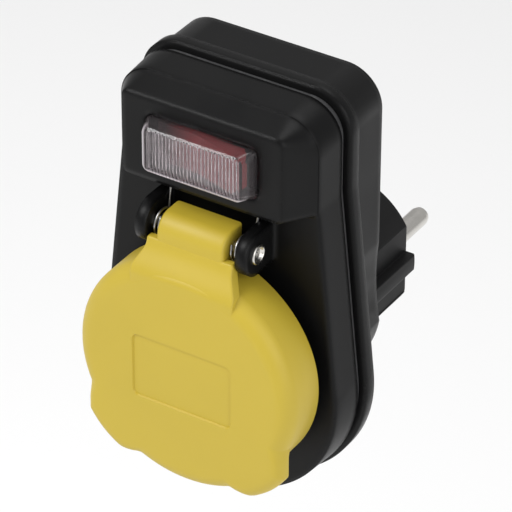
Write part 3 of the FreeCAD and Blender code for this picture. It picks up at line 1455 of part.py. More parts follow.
def check(doc, parts):
    bad = [item.Name for item in doc.Objects if "Invalid" in item.State or "Error" in item.State]
    if bad:
        raise RuntimeError("failed: " + ", ".join(bad))
    for part in parts:
        if part.Shape.isNull() or not part.Shape.isValid():
            raise RuntimeError("no valid shape: " + part.Label)


def main():
    doc = FreeCAD.newDocument("SwitchedAdapter")
    parts = make_parts(doc, Dimensions(doc))
    check(doc, parts)
    os.makedirs("parts", exist_ok=True)
    for part in parts:
        part.Shape.exportStep("parts/%s.step" % part.Label)
        box = part.Shape.BoundBox
        print("%-22s %9.1f mm3 %2d  x %6.1f %6.1f  y %6.1f %6.1f  z %6.1f %6.1f" % (
            part.Label, part.Shape.Volume, len(part.Shape.Solids),
            box.XMin, box.XMax, box.YMin, box.YMax, box.ZMin, box.ZMax))


main()
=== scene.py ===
# %% [markdown]
# # A switched splash-proof adapter, dressed for its picture
#
# The adapter plugs into a wall socket. It has a round earthed plug behind, a socket under a
# sprung yellow lid in front, and a lit rocker switch under a clear ribbed boot above the lid.
# The solid model gives every main form. This lesson adds what a photograph shows on top of
# them: soft edges, moulded skins, clear and red plastic, plated metal, and small fastenings.
#
# Each step starts with a few sentences like these, then a short cell of code.

import math

import bpy
from mathutils import Matrix, Vector
from mathutils.geometry import tessellate_polygon


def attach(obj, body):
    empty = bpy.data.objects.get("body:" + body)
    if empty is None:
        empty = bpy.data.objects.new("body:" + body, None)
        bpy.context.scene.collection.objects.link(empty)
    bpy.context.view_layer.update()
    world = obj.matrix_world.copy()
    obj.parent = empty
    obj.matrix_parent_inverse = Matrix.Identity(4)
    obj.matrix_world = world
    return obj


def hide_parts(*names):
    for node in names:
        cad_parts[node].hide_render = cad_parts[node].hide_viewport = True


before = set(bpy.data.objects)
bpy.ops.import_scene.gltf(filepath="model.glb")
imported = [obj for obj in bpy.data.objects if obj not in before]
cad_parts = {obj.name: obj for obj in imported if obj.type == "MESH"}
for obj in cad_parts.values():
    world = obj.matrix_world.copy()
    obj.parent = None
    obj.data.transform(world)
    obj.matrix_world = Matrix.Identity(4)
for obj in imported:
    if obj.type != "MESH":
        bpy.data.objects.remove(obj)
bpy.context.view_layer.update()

# %% [markdown]
# The model is in metres, and most sizes on a thing this small are a few millimetres. One
# short name for a millimetre keeps the numbers readable. Everything is placed in the same
# frame as the solids: X runs right, Y from the lid back to the pins, and Z up.

# %% A millimetre
MM = 0.001


def at(x, y, z):
    """A point given in millimetres."""
    return Vector((x, y, z)) * MM


# %% [markdown]
# ## Camera
# The photograph was taken from above and to the right, from far enough away that the sides
# stay almost parallel. The camera is therefore given a long lens. Its axes are built from
# two angles, which is easier to correct against a photograph than three rotations are.

# %% Camera
AZIMUTH = math.radians(32.36)
ELEVATION = math.radians(33.74)
ROLL = math.radians(0.20)
DISTANCE = 800.0
SHIFT_RIGHT = -11.76
SHIFT_UP = 21.25
AIM = (0.0, -62.1, 55.3)
SENSOR = 36.0
PICTURE_PIXELS = 512.0
FOCAL_PIXELS = 3730.93

backward = Vector((
    math.sin(AZIMUTH) * math.cos(ELEVATION),
    -math.cos(AZIMUTH) * math.cos(ELEVATION),
    math.sin(ELEVATION)))
level_right = Vector((math.cos(AZIMUTH), math.sin(AZIMUTH), 0.0))
level_up = backward.cross(level_right)
right = level_right * math.cos(ROLL) + level_up * math.sin(ROLL)
up = backward.cross(right)

camera = bpy.data.objects.new("camera", bpy.data.cameras.new("camera"))
bpy.context.scene.collection.objects.link(camera)
place = at(*AIM) + (backward * DISTANCE - right * SHIFT_RIGHT - up * SHIFT_UP) * MM
camera.matrix_world = Matrix((
    (right.x, up.x, backward.x, place.x),
    (right.y, up.y, backward.y, place.y),
    (right.z, up.z, backward.z, place.z),
    (0.0, 0.0, 0.0, 1.0)))
camera.data.lens = SENSOR * FOCAL_PIXELS / PICTURE_PIXELS
camera.data.sensor_width = SENSOR
camera.data.clip_start = 0.05
bpy.context.scene.camera = camera
print("camera at", [round(value, 3) for value in place])

# %% [markdown]
# ## Shader maths as plain expressions
# A procedural material is a sum of small patterns. Written node by node it is long and hard
# to read, so one small class wraps a socket and lets masks be added and multiplied like
# numbers. Colours are mixed with a Mix node, because a Math node would turn them grey.

# %% A socket that can be added and multiplied
class Value:
    """One output socket in a material's node tree."""

    def __init__(self, paint, socket):
        self.paint = paint
        self.socket = socket

    def maths(self, operation, first, second=None):
        inputs = {0: first} if second is None else {0: first, 1: second}
        return self.paint.node("ShaderNodeMath", {"operation": operation}, inputs)

    def __add__(self, other):
        return self.maths("ADD", self, other)

    __radd__ = __add__

    def __sub__(self, other):
        return self.maths("SUBTRACT", self, other)

    def __rsub__(self, other):
        return self.maths("SUBTRACT", other, self)

    def __mul__(self, other):
        return self.maths("MULTIPLY", self, other)

    __rmul__ = __mul__

    def __truediv__(self, other):
        return self.maths("DIVIDE", self, other)

    def __rtruediv__(self, other):
        return self.maths("DIVIDE", other, self)


print("operators of a socket:", [name for name in vars(Value) if name.startswith("__r")])

# %% [markdown]
# A second class holds one material. Its node method is the only place that adds nodes: it
# takes the node's type, its settings and what goes into its sockets. The other methods are
# the few patterns that this adapter needs. Some of them are about edges: a Bevel node tells
# which way a rounded edge would face, so an edge can look round and polished on a solid
# whose corner is sharp.

# %% A material written as patterns
class Paint:
    """A material that is written as a few lines of patterns."""

    def __init__(self, name):
        self.material = bpy.data.materials.new(name)
        self.material.use_nodes = True
        self.tree = self.material.node_tree
        self.shader = self.tree.nodes["Principled BSDF"]

    def node(self, kind, settings, inputs, output=0):
        """Adds a node: first its settings, then the values or links of its sockets."""
        item = self.tree.nodes.new(kind)
        for key, value in settings.items():
            setattr(item, key, value)
        for key, value in inputs.items():
            self.feed(item.inputs[key], value)
        return Value(self, item.outputs[output])

    def feed(self, socket, value):
        if isinstance(value, Value):
            self.tree.links.new(value.socket, socket)
        else:
            socket.default_value = value

    def set(self, **sockets):
        """Sets the shader's sockets, such as base_color or roughness."""
        for key, value in sockets.items():
            name = {"ior": "IOR", "specular": "Specular IOR Level"}.get(
                key, key.replace("_", " ").title())
            self.feed(self.shader.inputs[name], value)
        return self

    def coordinates(self):
        return self.node("ShaderNodeTexCoord", {}, {}, "Object")

    def along(self, axis):
        """Distance in metres along X, Y or Z, which are 0, 1 and 2."""
        return self.node("ShaderNodeSeparateXYZ", {}, {0: self.coordinates()}, axis)

    def noise(self, scale, detail=2.0):
        """Noise from 0 to 1 whose grain is about one over the scale, in metres."""
        return self.node("ShaderNodeTexNoise", {}, {
            "Vector": self.coordinates(), "Scale": scale, "Detail": detail})

    def ramp(self, value, start, end):
        """0 below the start, 1 above the end and straight between."""
        return self.node("ShaderNodeMapRange", {}, {
            "Value": value, "From Min": start, "From Max": end})

    def mix(self, mask, first, second):
        return self.node("ShaderNodeMix", {"data_type": "RGBA"}, {0: mask, 6: first, 7: second}, 2)

    def rounding(self, radius):
        """The direction that the surface would face if its edges had this radius."""
        return self.node("ShaderNodeBevel", {"samples": 8}, {"Radius": radius})

    def bump(self, height, distance, edge=0.0):
        """Relief on the surface, over edges that look rounded by this radius."""
        inputs = {"Height": height, "Distance": distance, "Strength": 1.0}
        if edge:
            inputs["Normal"] = self.rounding(edge)
        return self.set(normal=self.node("ShaderNodeBump", {}, inputs))

    def edges(self, radius):
        """1 on edges that look rounded by this radius, 0 on flat faces."""
        flat = self.node("ShaderNodeNewGeometry", {}, {}, "Normal")
        match = self.node("ShaderNodeVectorMath", {"operation": "DOT_PRODUCT"},
                          {0: flat, 1: self.rounding(radius)}, "Value")
        return self.ramp(match, 0.995, 0.95)

    def pale_highlight(self, mask, tone, rough):
        """Lays a pale surface over the shader where the mask is 1, as a painted highlight."""
        clear = Value(self, self.shader.outputs[0])
        pale = self.node("ShaderNodeBsdfPrincipled", {}, {"Base Color": tone, "Roughness": rough})
        mixed = self.node("ShaderNodeMixShader", {}, {0: mask, 1: clear, 2: pale})
        self.feed(self.tree.nodes["Material Output"].inputs["Surface"], mixed)


print("patterns:", [name for name in vars(Paint) if not name.startswith("_")])

# %% [markdown]
# ## Black moulded plastic
# The housing is moulded in a spark-eroded tool, which leaves a fine even grain. The grain
# scatters light a little, so the plastic is satin, not shiny. Broad faint patches where it
# was handled keep a large dark face from looking computed. Hands also polish the edges, which
# the shader rounds by the radius that each plastic is given.

# %% Black plastics
GRAIN_DEPTH = 0.012 * MM


def black_plastic(name, tone, rough, edge):
    paint = Paint(name)
    patches = paint.ramp(paint.noise(60.0, 4.0), 0.35, 0.75)
    grain = paint.noise(5200.0, 1.0)
    dark = (tone, tone, tone * 1.04, 1.0)
    worn = (tone * 1.35, tone * 1.33, tone * 1.36, 1.0)
    polish = paint.edges(edge)
    paint.set(base_color=paint.mix(patches, dark, worn))
    paint.set(roughness=rough + 0.10 * patches - 0.14 * polish, specular=0.15)
    return paint.bump(grain, GRAIN_DEPTH, edge=edge).material


shell_black = black_plastic("shell_black", 0.0050, 0.36, 2.1 * MM)
insert_black = black_plastic("insert_black", 0.0072, 0.42, 0.3 * MM)
print("black plastics:", shell_black.name, insert_black.name)

# %% [markdown]
# ## Yellow lid
# The lid is a warm yellow with a skin as fine as the housing's, but the light colour hides
# most of the grain. What shows is a slow change of tone over the disc, and faint darker
# specks of dust. Both are noise, one with a coarse scale and one with a fine one.

# %% Yellow plastic
def yellow_plastic():
    paint = Paint("lid_yellow")
    slow = paint.ramp(paint.noise(35.0, 3.0), 0.3, 0.7)
    specks = paint.ramp(paint.noise(900.0, 2.0), 0.68, 0.80)
    clean = paint.mix(slow, (0.528, 0.392, 0.030, 1.0), (0.553, 0.412, 0.035, 1.0))
    paint.set(base_color=paint.mix(0.10 * specks, clean, (0.40, 0.28, 0.045, 1.0)))
    paint.set(roughness=0.44 + 0.08 * slow)
    return paint.bump(paint.noise(4200.0, 1.0), 0.01 * MM).material


lid_yellow = yellow_plastic()
print("lid:", lid_yellow.name)

# %% [markdown]
# ## Rubber seals
# The seal between the shells and the ring in the lid are matt rubber. Its tone is set
# lighter than the plastic's, as painted light that lifts the shade in the groove between
# the shells, and it varies in small uneven spots of dust.

# %% Rubber
def seal_rubber():
    paint = Paint("seal_rubber")
    dust = paint.ramp(paint.noise(700.0, 3.0), 0.45, 0.8)
    # Both tones are raised as painted light, to lift the shade in the groove where the seal sits.
    paint.set(base_color=paint.mix(dust, (0.050, 0.050, 0.052, 1.0), (0.075, 0.075, 0.077, 1.0)))
    return paint.set(roughness=0.62 + 0.15 * dust).material


rubber = seal_rubber()
print("seals:", rubber.name)

# %% [markdown]
# ## Clear boot
# The boot is soft clear plastic that keeps water out of the switch. Its front has fine
# upright ribs. A pale shader is mixed in where a mask finds a crest or the thick lower and
# left rims, as a painted white highlight there, while the rest lets the red lens through.
# Clear glass alone would lose the ribs in the dark behind them.

# %% Clear boot
RIB_PITCH = 0.9 * MM


def clear_boot():
    """Clear plastic, with painted white highlights on its rib crests and thick lower and left
    rims.
    """
    paint = Paint("clear_boot")
    haze = paint.ramp(paint.noise(260.0, 3.0), 0.4, 0.8)
    paint.set(base_color=(0.50, 0.45, 0.47, 1.0), roughness=0.06 + 0.10 * haze)
    paint.set(transmission_weight=0.96, ior=1.43, specular=0.5)
    across, depth, height = (paint.along(axis) for axis in range(3))
    off_crest = across.maths("ABSOLUTE", across.maths("FRACT", across / RIB_PITCH) - 0.5)
    front = paint.ramp(depth, -65.90 * MM, -66.10 * MM)
    ribs = front * paint.ramp(off_crest, 0.17, 0.05) * (0.10 + 0.20 * haze)
    near_front = paint.ramp(depth, -64.0 * MM, -65.8 * MM)
    lower = paint.ramp(height, 50.75 * MM, 50.15 * MM)
    left = paint.ramp(across, -11.7 * MM, -12.2 * MM)
    rim = near_front * lower.maths("MAXIMUM", 0.75 * lower, 0.45 * left)
    # Painted highlight: a pale shader laid over the rib crests and the lower and left rims.
    paint.pale_highlight(ribs.maths("MAXIMUM", ribs, rim), (0.84, 0.76, 0.80, 1.0), 0.3)
    return paint.material


boot_clear = clear_boot()
print("boot:", boot_clear.name)

# %% [markdown]
# ## Red lens
# The rocker's top is a red lens. The lamp sits under its middle and right, where the lens is
# red and carries a faint painted glow, as if the switch were on. Toward the left it turns
# nearly black. One ramp across the lens drives both the colour and the painted glow.

# %% Red lens
def red_lens():
    paint = Paint("red_lens")
    depth = paint.ramp(paint.noise(400.0, 2.0), 0.3, 0.8)
    # Red with a painted glow toward the right, nearly black toward the left.
    toward_right = paint.ramp(paint.along(0), -9.5 * MM, -1.5 * MM)
    red = paint.mix(depth, (0.38, 0.012, 0.018, 1.0), (0.50, 0.026, 0.034, 1.0))
    paint.set(base_color=paint.mix(toward_right, (0.030, 0.008, 0.009, 1.0), red))
    # The emission is a painted glow: the lens itself is no lamp.
    paint.set(roughness=0.2 + 0.08 * depth, emission_strength=0.14)
    glow = paint.mix(toward_right, (0.05, 0.01, 0.01, 1.0), (0.9, 0.12, 0.12, 1.0))
    return paint.set(emission_color=glow).material


lens_red = red_lens()
print("lens:", lens_red.name)

# %% [markdown]
# ## Metals
# The pins and the strips that touch other plugs are nickel-plated brass, bright with fine
# marks. The straps inside are plain brass, and the screws and springs are steel. One
# function makes all three, because they differ only in tone and in how fine the marks are.

# %% Metals
def metal(name, tone, rough, mark_scale):
    paint = Paint(name)
    marks = paint.noise(mark_scale, 3.0)
    tarnish = paint.ramp(paint.noise(220.0, 4.0), 0.4, 0.8)
    dull = tuple(value * 0.8 for value in tone) + (1.0,)
    paint.set(base_color=paint.mix(tarnish, tone + (1.0,), dull), metallic=1.0)
    paint.set(roughness=rough + 0.12 * marks * tarnish)
    return paint.bump(marks, 0.004 * MM).material


nickel = metal("nickel", (0.70, 0.68, 0.64), 0.22, 2600.0)
brass = metal("brass", (0.72, 0.52, 0.24), 0.28, 2200.0)
steel = metal("steel", (0.52, 0.52, 0.53), 0.30, 2400.0)
print("metals:", nickel.name, brass.name, steel.name)

# %% [markdown]
# ## Small glass parts
# The glow lamp is a tiny glass tube and the resistor beside it a lacquered body. Both hide
# behind the lens, but they belong to the switch and get their own finish.

# %% Lamp and resistor
def lamp_glass():
    paint = Paint("lamp_glass")
    film = paint.noise(1500.0, 2.0)
    paint.set(base_color=(0.95, 0.75, 0.68, 1.0), roughness=0.05 + 0.1 * film)
    return paint.set(transmission_weight=0.8, ior=1.47).material


def resistor_lacquer():
    paint = Paint("resistor_lacquer")
    pits = paint.noise(1800.0, 2.0)
    paint.set(base_color=paint.mix(pits, (0.48, 0.36, 0.22, 1.0), (0.58, 0.46, 0.30, 1.0)))
    return paint.set(roughness=0.32 + 0.1 * pits).material


glass = lamp_glass()
lacquer = resistor_lacquer()
print("small parts:", glass.name, lacquer.name)

# %% [markdown]
# ## Finish every solid
# Each solid keeps its shape and only gets its finish. A dictionary from finish to nodes
# shows at a glance what is made of what.

# %% Assign the finishes
FINISHES = {
    shell_black: ["front_shell", "rear_shell"],
    insert_black: ["plug_insert", "socket_insert", "switch_body", "rocker_base", "rocker_plunger",
                   "boot_frame"],
    lid_yellow: ["lid"],
    rubber: ["shell_seal", "lid_seal"],
    boot_clear: ["switch_boot"],
    lens_red: ["rocker_lens"],
    nickel: ["left_plug_pin", "right_plug_pin", "plug_earth_clip", "socket_earth_clip",
             "hinge_pin"],
    brass: ["left_contact_sleeve", "right_contact_sleeve", "earth_rod", "live_inlet_strap",
            "live_outlet_strap", "neutral_strap", "inlet_terminal", "outlet_terminal",
            "lamp_terminal", "moving_contact"],
    steel: ["housing_screws", "left_hinge_spring", "right_hinge_spring", "plunger_spring"],
    glass: ["glow_lamp"],
    lacquer: ["series_resistor"],
}
finished = []
for finish, names in FINISHES.items():
    for name in names:
        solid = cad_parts[name]
        solid.data.materials.clear()
        solid.data.materials.append(finish)
        finished.append(name)
print("finished", len(finished), "of", len(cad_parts), "solids")

# %% [markdown]
# ## A smooth lid
# The lid is one moulding. Its front runs without a crease into the finger lobes below and
# into the neck above. It is easiest to build round its own middle: at every angle the
# outline has one reach, and rings of points between the flat front and that reach give the
# rounded edge. More rings lead round the rim and into the cup behind.

# %% The lid's outline
LID_MIDDLE = 2.2
LID_FRONT = 70.8
LID_RIM = 58.5
LID_REACH = 28.3
FLAT_REACH = 24.0
LOBE_SIDE = 25.97
LOBE_REACH = 29.2
LOBE_RISE = 2.9
LOBE_BULGE = 0.25


def blend(value, start, end):
    """0 below the start, 1 above the end, and a soft S between."""
    part = min(max((value - start) / (end - start), 0.0), 1.0)
    return part * part * (3.0 - 2.0 * part)


def lobe_reach(turn):
    """The outline's reach for a turn in degrees away from straight down."""
    if turn > 80.0:
        return LID_REACH
    if turn > 54.0:
        return max(LID_REACH, LOBE_SIDE / math.sin(math.radians(turn)))
    bulge = LOBE_BULGE * math.sin(math.pi * min(max((turn - 34.0) / 20.0, 0.0), 1.0))
    return LOBE_REACH + LOBE_RISE * blend(turn, 23.5, 35.0) + bulge


half = [(0.5 * step, lobe_reach(0.5 * step)) for step in range(361)]
half = [(turn, (half[max(i - 1, 0)][1] + 2 * reach + half[min(i + 1, 360)][1]) / 4)
        for i, (turn, reach) in enumerate(half)]
lid_rays = half + [(360.0 - turn, reach) for turn, reach in half[-2:0:-1]]
print("the lid's outline has", len(lid_rays), "angles")

# %% [markdown]
# The front's level is a formula of the place. It falls away near the outline like a rounded
# edge, a little tighter on the lobes than on the disc, and it sinks where the neck starts,
# so that the neck covers it.

# %% The lid's front and back
DISC_EDGE = 4.0
LOBE_EDGE = 3.0
SINK_UNDER_NECK = 1.6
LOBE_BACK = 67.2
EDGE_BACK = 65.0


def rounded(inside, radius):
    """How far a rounded edge has dropped, this far inside the outline."""
    rest = max(radius - inside, 0.0)
    return radius - math.sqrt(max(radius * radius - rest * rest, 0.0))


def front_level(x, z, reach, own_reach):
    """Distance of the lid's front from the pin face. The disc gives way under the neck."""
    lobe = blend(own_reach, LID_REACH, 30.5)
    radius = DISC_EDGE + (LOBE_EDGE - DISC_EDGE) * lobe
    under_neck = SINK_UNDER_NECK * blend(z, 24.2, 27.6) * (1.0 - blend(abs(x), 9.0, 12.5))
    return LID_FRONT - rounded(own_reach - reach, radius) - under_neck


def back_level(x, z, reach, own_reach):
    """Back of the lobes' plate, or just behind the rounded edge where there is no lobe."""
    return LOBE_BACK if own_reach > LID_REACH + 0.1 else EDGE_BACK


print("the front is at", LID_FRONT, "mm and the rim at", LID_RIM, "mm from the pin face")

# %% [markdown]
# Now the outline and the levels make rings. The first ones crowd together near the edge,
# where the surface bends most. Then one ring leads behind the lobes, one back to the disc,
# and the last ones go round the rim and into the cup that holds the sealing ring.

# %% Rings of the lid
RIM_AND_CUP = ((LID_REACH, 58.8), (28.2, 58.6), (28.0, LID_RIM), (26.6, LID_RIM),
               (26.4, 58.6), (26.3, 58.8), (26.3, 68.8))


def lid_ring(reach_of, level_of):
    ring = []
    for turn, own in lid_rays:
        reach = reach_of(own)
        x = reach * math.sin(math.radians(turn))
        z = -reach * math.cos(math.radians(turn))
        ring.append((x, -level_of(x, z, reach, own), z + LID_MIDDLE))
    return ring


def lid_rings():
    """Rings from the flat front over the edge, round the rim and down into the cup."""
    rings = []
    for step in range(13):
        share = math.sin(math.radians(90.0 * step / 12))
        rings.append(lid_ring(lambda own: FLAT_REACH + (own - FLAT_REACH) * share, front_level))
    rings.append(lid_ring(lambda own: own, back_level))
    rings.append(lid_ring(lambda own: min(own, LID_REACH), back_level))
    for reach, level in RIM_AND_CUP:
        rings.append(lid_ring(lambda own: reach, lambda *place: level))
    return rings


print("the lid's skin has", len(lid_rings()), "rings of points")

# %% [markdown]
# Three helpers turn outlines into faces. One joins neighbouring rings with quads, one
# draws a rectangle with round corners, and one fills the space between an outline and the
# holes in it. Blender's own tessellate_polygon does that last job without any editing.

# %% Bands, corners and fills
def bands(rings, start=0):
    """Quads between one ring and the next."""
    count = len(rings[0])
    return [(start + k * count + j, start + (k + 1) * count + j,
             start + (k + 1) * count + (j + 1) % count, start + k * count + (j + 1) % count)
            for k in range(len(rings) - 1) for j in range(count)]


def rounded_corners(half_width, low, high, radius, steps=5):
    """Points of a rectangle with round corners, against the clock seen from the front."""
    points = []
    corners = ((half_width - radius, low + radius, -90), (half_width - radius, high - radius, 0),
               (radius - half_width, high - radius, 90), (radius - half_width, low + radius, 180))
    for x, z, start in corners:
        for step in range(steps + 1):
            turn = math.radians(start + 90.0 * step / steps)
            points.append((x + radius * math.cos(turn), z + radius * math.sin(turn)))
    return points


def fill(loops, level, start):
    """Triangles that face the front, between an outer loop and the loops inside it."""
    flat = [[Vector((x, z, 0.0)) for x, z in loop] for loop in loops]
    points = [point for loop in flat for point in loop]
    faces = []
    for a, b, c in tessellate_polygon(flat):
        if (points[b] - points[a]).cross(points[c] - points[a]).z <= 0.0:
            b, c = c, b
        faces.append((start + a, start + b, start + c))
    return [(x, -level, z) for loop in loops for x, z in loop], faces


sample = bands([[(0, 0, 0)] * 4, [(0, 0, 1)] * 4])
print("faces between two rings of four points:", len(sample))

# %% [markdown]
# The lid's front carries one shallow panel with round corners. It is a hole in the front's
# fill, a narrow band down from its edge, and a second fill for its floor.

# %% The lid's skin with its panel
PANEL_HALF = 13.0
PANEL_LOW = -7.05
PANEL_HIGH = 9.65
PANEL_CORNER = 1.6
PANEL_DEPTH = 0.4
PANEL_SLOPE = 0.25


def panel_outline(inset):
    """The panel's outline, this far inside its upper edge."""
    return rounded_corners(PANEL_HALF - inset, PANEL_LOW + inset, PANEL_HIGH - inset,
                           PANEL_CORNER - inset)


def lid_skin():
    rings = lid_rings()
    count = len(lid_rays)
    points = [point for ring in rings for point in ring]
    faces = bands(rings) + [tuple(range(len(points) - 1, len(points) - count - 1, -1))]
    outer = [(x, z) for x, _, z in rings[0]]
    edge = panel_outline(0.0)
    more, triangles = fill([outer, edge], LID_FRONT, len(points))
    points += more
    faces += triangles
    floor = panel_outline(PANEL_SLOPE)
    panel = [[(x, PANEL_DEPTH - LID_FRONT, z) for x, z in floor],
             [(x, -LID_FRONT, z) for x, z in edge]]
    faces += bands(panel, len(points))
    points += panel[0] + panel[1]
    more, triangles = fill([floor], LID_FRONT - PANEL_DEPTH, len(points))
    return points + more, faces + triangles


print("the lid's skin has", len(lid_skin()[1]), "faces")

# %% [markdown]
# The neck is a stack of outlines, one for each height. It leaves the disc's flat front and
# slides back to the barrel in one soft S, and its sides stay crisp.

# %% The neck
NECK_LOW = 20.0
NECK_HIGH = 33.4
NECK_FOOT_HALF = 13.4
NECK_TOP_HALF = 11.15
NECK_NARROWS = (26.5, 32.5)
NECK_FRONT = 70.77
NECK_SETBACK = 3.67
NECK_SLIDES_BACK = (25.4, 34.0)
NECK_TOP_FRONT = 67.12
NECK_BACK = 65.4
NECK_DEPTH = 2.6
NECK_EDGE = 0.5


def neck_ring(height, half_width, front):
    """One level outline of the neck, from right to left along its front."""
    side = half_width - NECK_EDGE
    points = [(half_width, max(NECK_BACK, front - NECK_DEPTH))]
    for step in range(5):
        turn = math.radians(22.5 * step)
        points.append((side + NECK_EDGE * math.cos(turn),
                       front - NECK_EDGE + NECK_EDGE * math.sin(turn)))
    points += [(-x, level) for x, level in reversed(points)]
    return [(x, -level, height) for x, level in points]


def neck_skin(start):
    """The neck from inside the disc up to its top edge, which is rounded as its sides are."""
    rings = []
    narrowing = NECK_FOOT_HALF - NECK_TOP_HALF
    for step in range(41):
        height = NECK_LOW + (NECK_HIGH - NECK_LOW) * step / 40
        half_width = NECK_FOOT_HALF - narrowing * blend(height, *NECK_NARROWS)
        front = NECK_FRONT - NECK_SETBACK * blend(height, *NECK_SLIDES_BACK)
        rings.append(neck_ring(height, half_width, front))
    for step in range(1, 5):
        turn = math.radians(22.5 * step)
        drop = NECK_EDGE - NECK_EDGE * math.cos(turn)
        height = NECK_HIGH + NECK_EDGE * math.sin(turn)
        rings.append(neck_ring(height, NECK_TOP_HALF - drop, NECK_TOP_FRONT - drop))
    points = [point for ring in rings for point in ring]
    count = len(rings[0])
    top = tuple(range(len(points) - 1, len(points) - count - 1, -1))
    caps = [tuple(range(count)), top]
    return points, bands(rings, start) + [tuple(start + index for index in cap) for cap in caps]


print("the neck's skin has", len(neck_skin(0)[1]), "faces")

# %% [markdown]
# The barrel is drawn from the side and stretched across. Its front and top meet in a large
# curve, its lower back follows the pin, and its two ends are rounded off: the side view
# shrinks a little toward each end. The bore for the pin is a band of its own.

# %% The barrel
HINGE_DEPTH = 61.8
HINGE_HEIGHT = 35.2
BARREL_FRONT = 67.08
BARREL_TOP = 39.6
BARREL_BEND = 4.2
BARREL_BACK_RADIUS = 3.0
BARREL_END = 8.67
BARREL_EDGE = 0.9
BORE = 1.85


def barrel_side(inset):
    """Side view of the barrel as distances from the pin face and heights."""
    front, top = BARREL_FRONT - inset, BARREL_TOP - inset
    radius = BARREL_BACK_RADIUS - inset
    points = [(HINGE_DEPTH - radius, top)]
    for step in range(9):
        turn = math.radians(90.0 - 90.0 * step / 8)
        points.append((front - BARREL_BEND + BARREL_BEND * math.cos(turn),
                       top - BARREL_BEND + BARREL_BEND * math.sin(turn)))
    points.append((front, HINGE_HEIGHT - radius))
    for step in range(7):
        turn = math.radians(-90.0 - 90.0 * step / 6)
        points.append((HINGE_DEPTH + radius * math.cos(turn),
                       HINGE_HEIGHT + radius * math.sin(turn)))
    return points


def barrel_skin(start):
    """A closed block from the right end to the left, bored for the hinge pin."""
    stations = []
    for step in range(5):
        turn = math.radians(90.0 * step / 4)
        stations.append((BARREL_END - BARREL_EDGE * (1.0 - math.cos(turn)),
                         BARREL_EDGE * (1.0 - math.sin(turn))))
    stations += [(-x, inset) for x, inset in reversed(stations)]
    rings = [[(x, -level, z) for level, z in barrel_side(inset)] for x, inset in stations]
    points = [point for ring in rings for point in ring]
    faces = bands(rings, start)
    circle = [(HINGE_DEPTH + BORE * math.cos(math.tau * step / 32),
               HINGE_HEIGHT + BORE * math.sin(math.tau * step / 32)) for step in range(32)]
    bore = [[(x, -level, z) for level, z in circle] for x in (BARREL_END, -BARREL_END)]
    faces += bands(bore, start + len(points))
    points += bore[0] + bore[1]
    for x, ring in ((BARREL_END, rings[0]), (-BARREL_END, rings[-1])):
        loops = [[(-y, z) for _, y, z in ring], circle]
        more, triangles = fill(loops, 0.0, start + len(points))
        points += [(x, -level, z) for level, _, z in more]
        faces += [face[::-1] for face in triangles] if x > 0 else triangles
    return points, faces


print("the barrel's skin has", len(barrel_skin(0)[1]), "faces")

# %% [markdown]
# The skins share points along their seams. They are joined first, so that shading runs
# smoothly across a seam. Then the mesh becomes an object that rides on its body and takes
# the place of the plain solid. An angle of 40 degrees parts sharp edges from soft ones.

# %% Join points and add a piece
def welded(points, faces):
    """The same mesh with equal points joined, and without faces that this closes."""
    kept, renamed = {}, []
    for point in points:
        renamed.append(kept.setdefault(tuple(round(value, 4) for value in point), len(kept)))
    joined = []
    for face in faces:
        corners = [renamed[index] for index in face]
        corners = [corner for i, corner in enumerate(corners) if corner != corners[i - 1]]
        if len(corners) > 2:
            joined.append(corners)
    return [at(*point) for point in kept], joined


def add_piece(name, points, faces, finish, body, node, slot):
    points, faces = welded(points, faces)
    mesh = bpy.data.meshes.new(name)
    mesh.from_pydata(points, [], faces)
    mesh.validate()
    mesh.shade_smooth()
    mesh.set_sharp_from_angle(angle=math.radians(40))
    mesh.materials.append(finish)
    piece = bpy.data.objects.new(name, mesh)
    bpy.context.scene.collection.objects.link(piece)
    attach(piece, body)
    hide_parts(node)
    return piece


points, faces = lid_skin()
for skin in (neck_skin, barrel_skin):
    more, more_faces = skin(len(points))
    points, faces = points + more, faces + more_faces
smooth_lid = add_piece("smooth_lid", points, faces, lid_yellow, "lid", "lid", "yellow_lid")
print("the smooth lid has", len(smooth_lid.data.polygons), "faces")

# %% [markdown]
# ## Hinge pin
# Small metal parts are read by their highlights. The hinge pin is rolled over at both ends,
# so a bright ring runs round a shallow dish. It is half a side view and its mirror, turned
# round the hinge.

# %% Hinge pin
PIN_SHOULDER = (14.3, 1.8)
ROLL_MIDDLE = (14.4, 2.05)
ROLL_RADIUS = 0.4
PIN_DISH = [(14.3, 1.5), (14.08, 1.32), (14.0, 1.0), (14.0, 0.55), (14.12, 0.35), (14.15, 0.05)]


def hinge_pin_skin():
    """Half a side view, from the middle over the rolled ring to the dish, and its mirror."""
    profile = [PIN_SHOULDER]
    for step in range(9):
        turn = math.radians(-15.0 + 22.5 * step)
        profile.append((ROLL_MIDDLE[0] + ROLL_RADIUS * math.sin(turn),
                        ROLL_MIDDLE[1] + ROLL_RADIUS * math.cos(turn)))
    profile += PIN_DISH
    profile = profile[::-1] + [(-x, radius) for x, radius in profile]
    count = 40
    rings = [[(x, radius * math.cos(math.tau * j / count) - HINGE_DEPTH,
               HINGE_HEIGHT + radius * math.sin(math.tau * j / count))
              for j in range(count)] for x, radius in profile]
    last = len(rings) * count
    caps = [tuple(range(count)), tuple(range(last - 1, last - count - 1, -1))]
    return [point for ring in rings for point in ring], bands(rings) + caps


hinge_pin = add_piece(
    "rolled_hinge_pin", *hinge_pin_skin(), nickel, "housing", "hinge_pin", "nickel")
print("the hinge pin has", len(hinge_pin.data.polygons), "faces")

# %% [markdown]
# ## Screws
# Four screws hold the shells together from behind. Each is a stack of rings: the thread's
# rings swing in and out as the angle and the level change together, which winds a ridge
# round the shank. The domed head has a cross recess, cut like the panel in the lid.

# %% Screws
def cross_outline(arm, half_width):
    """The cross of a screw's recess, against the clock."""
    corners = [(half_width, -arm), (half_width, -half_width), (arm, -half_width)]
    points = []
    for _ in range(4):
        points += corners
        corners = [(-z, x) for x, z in corners]
    return points


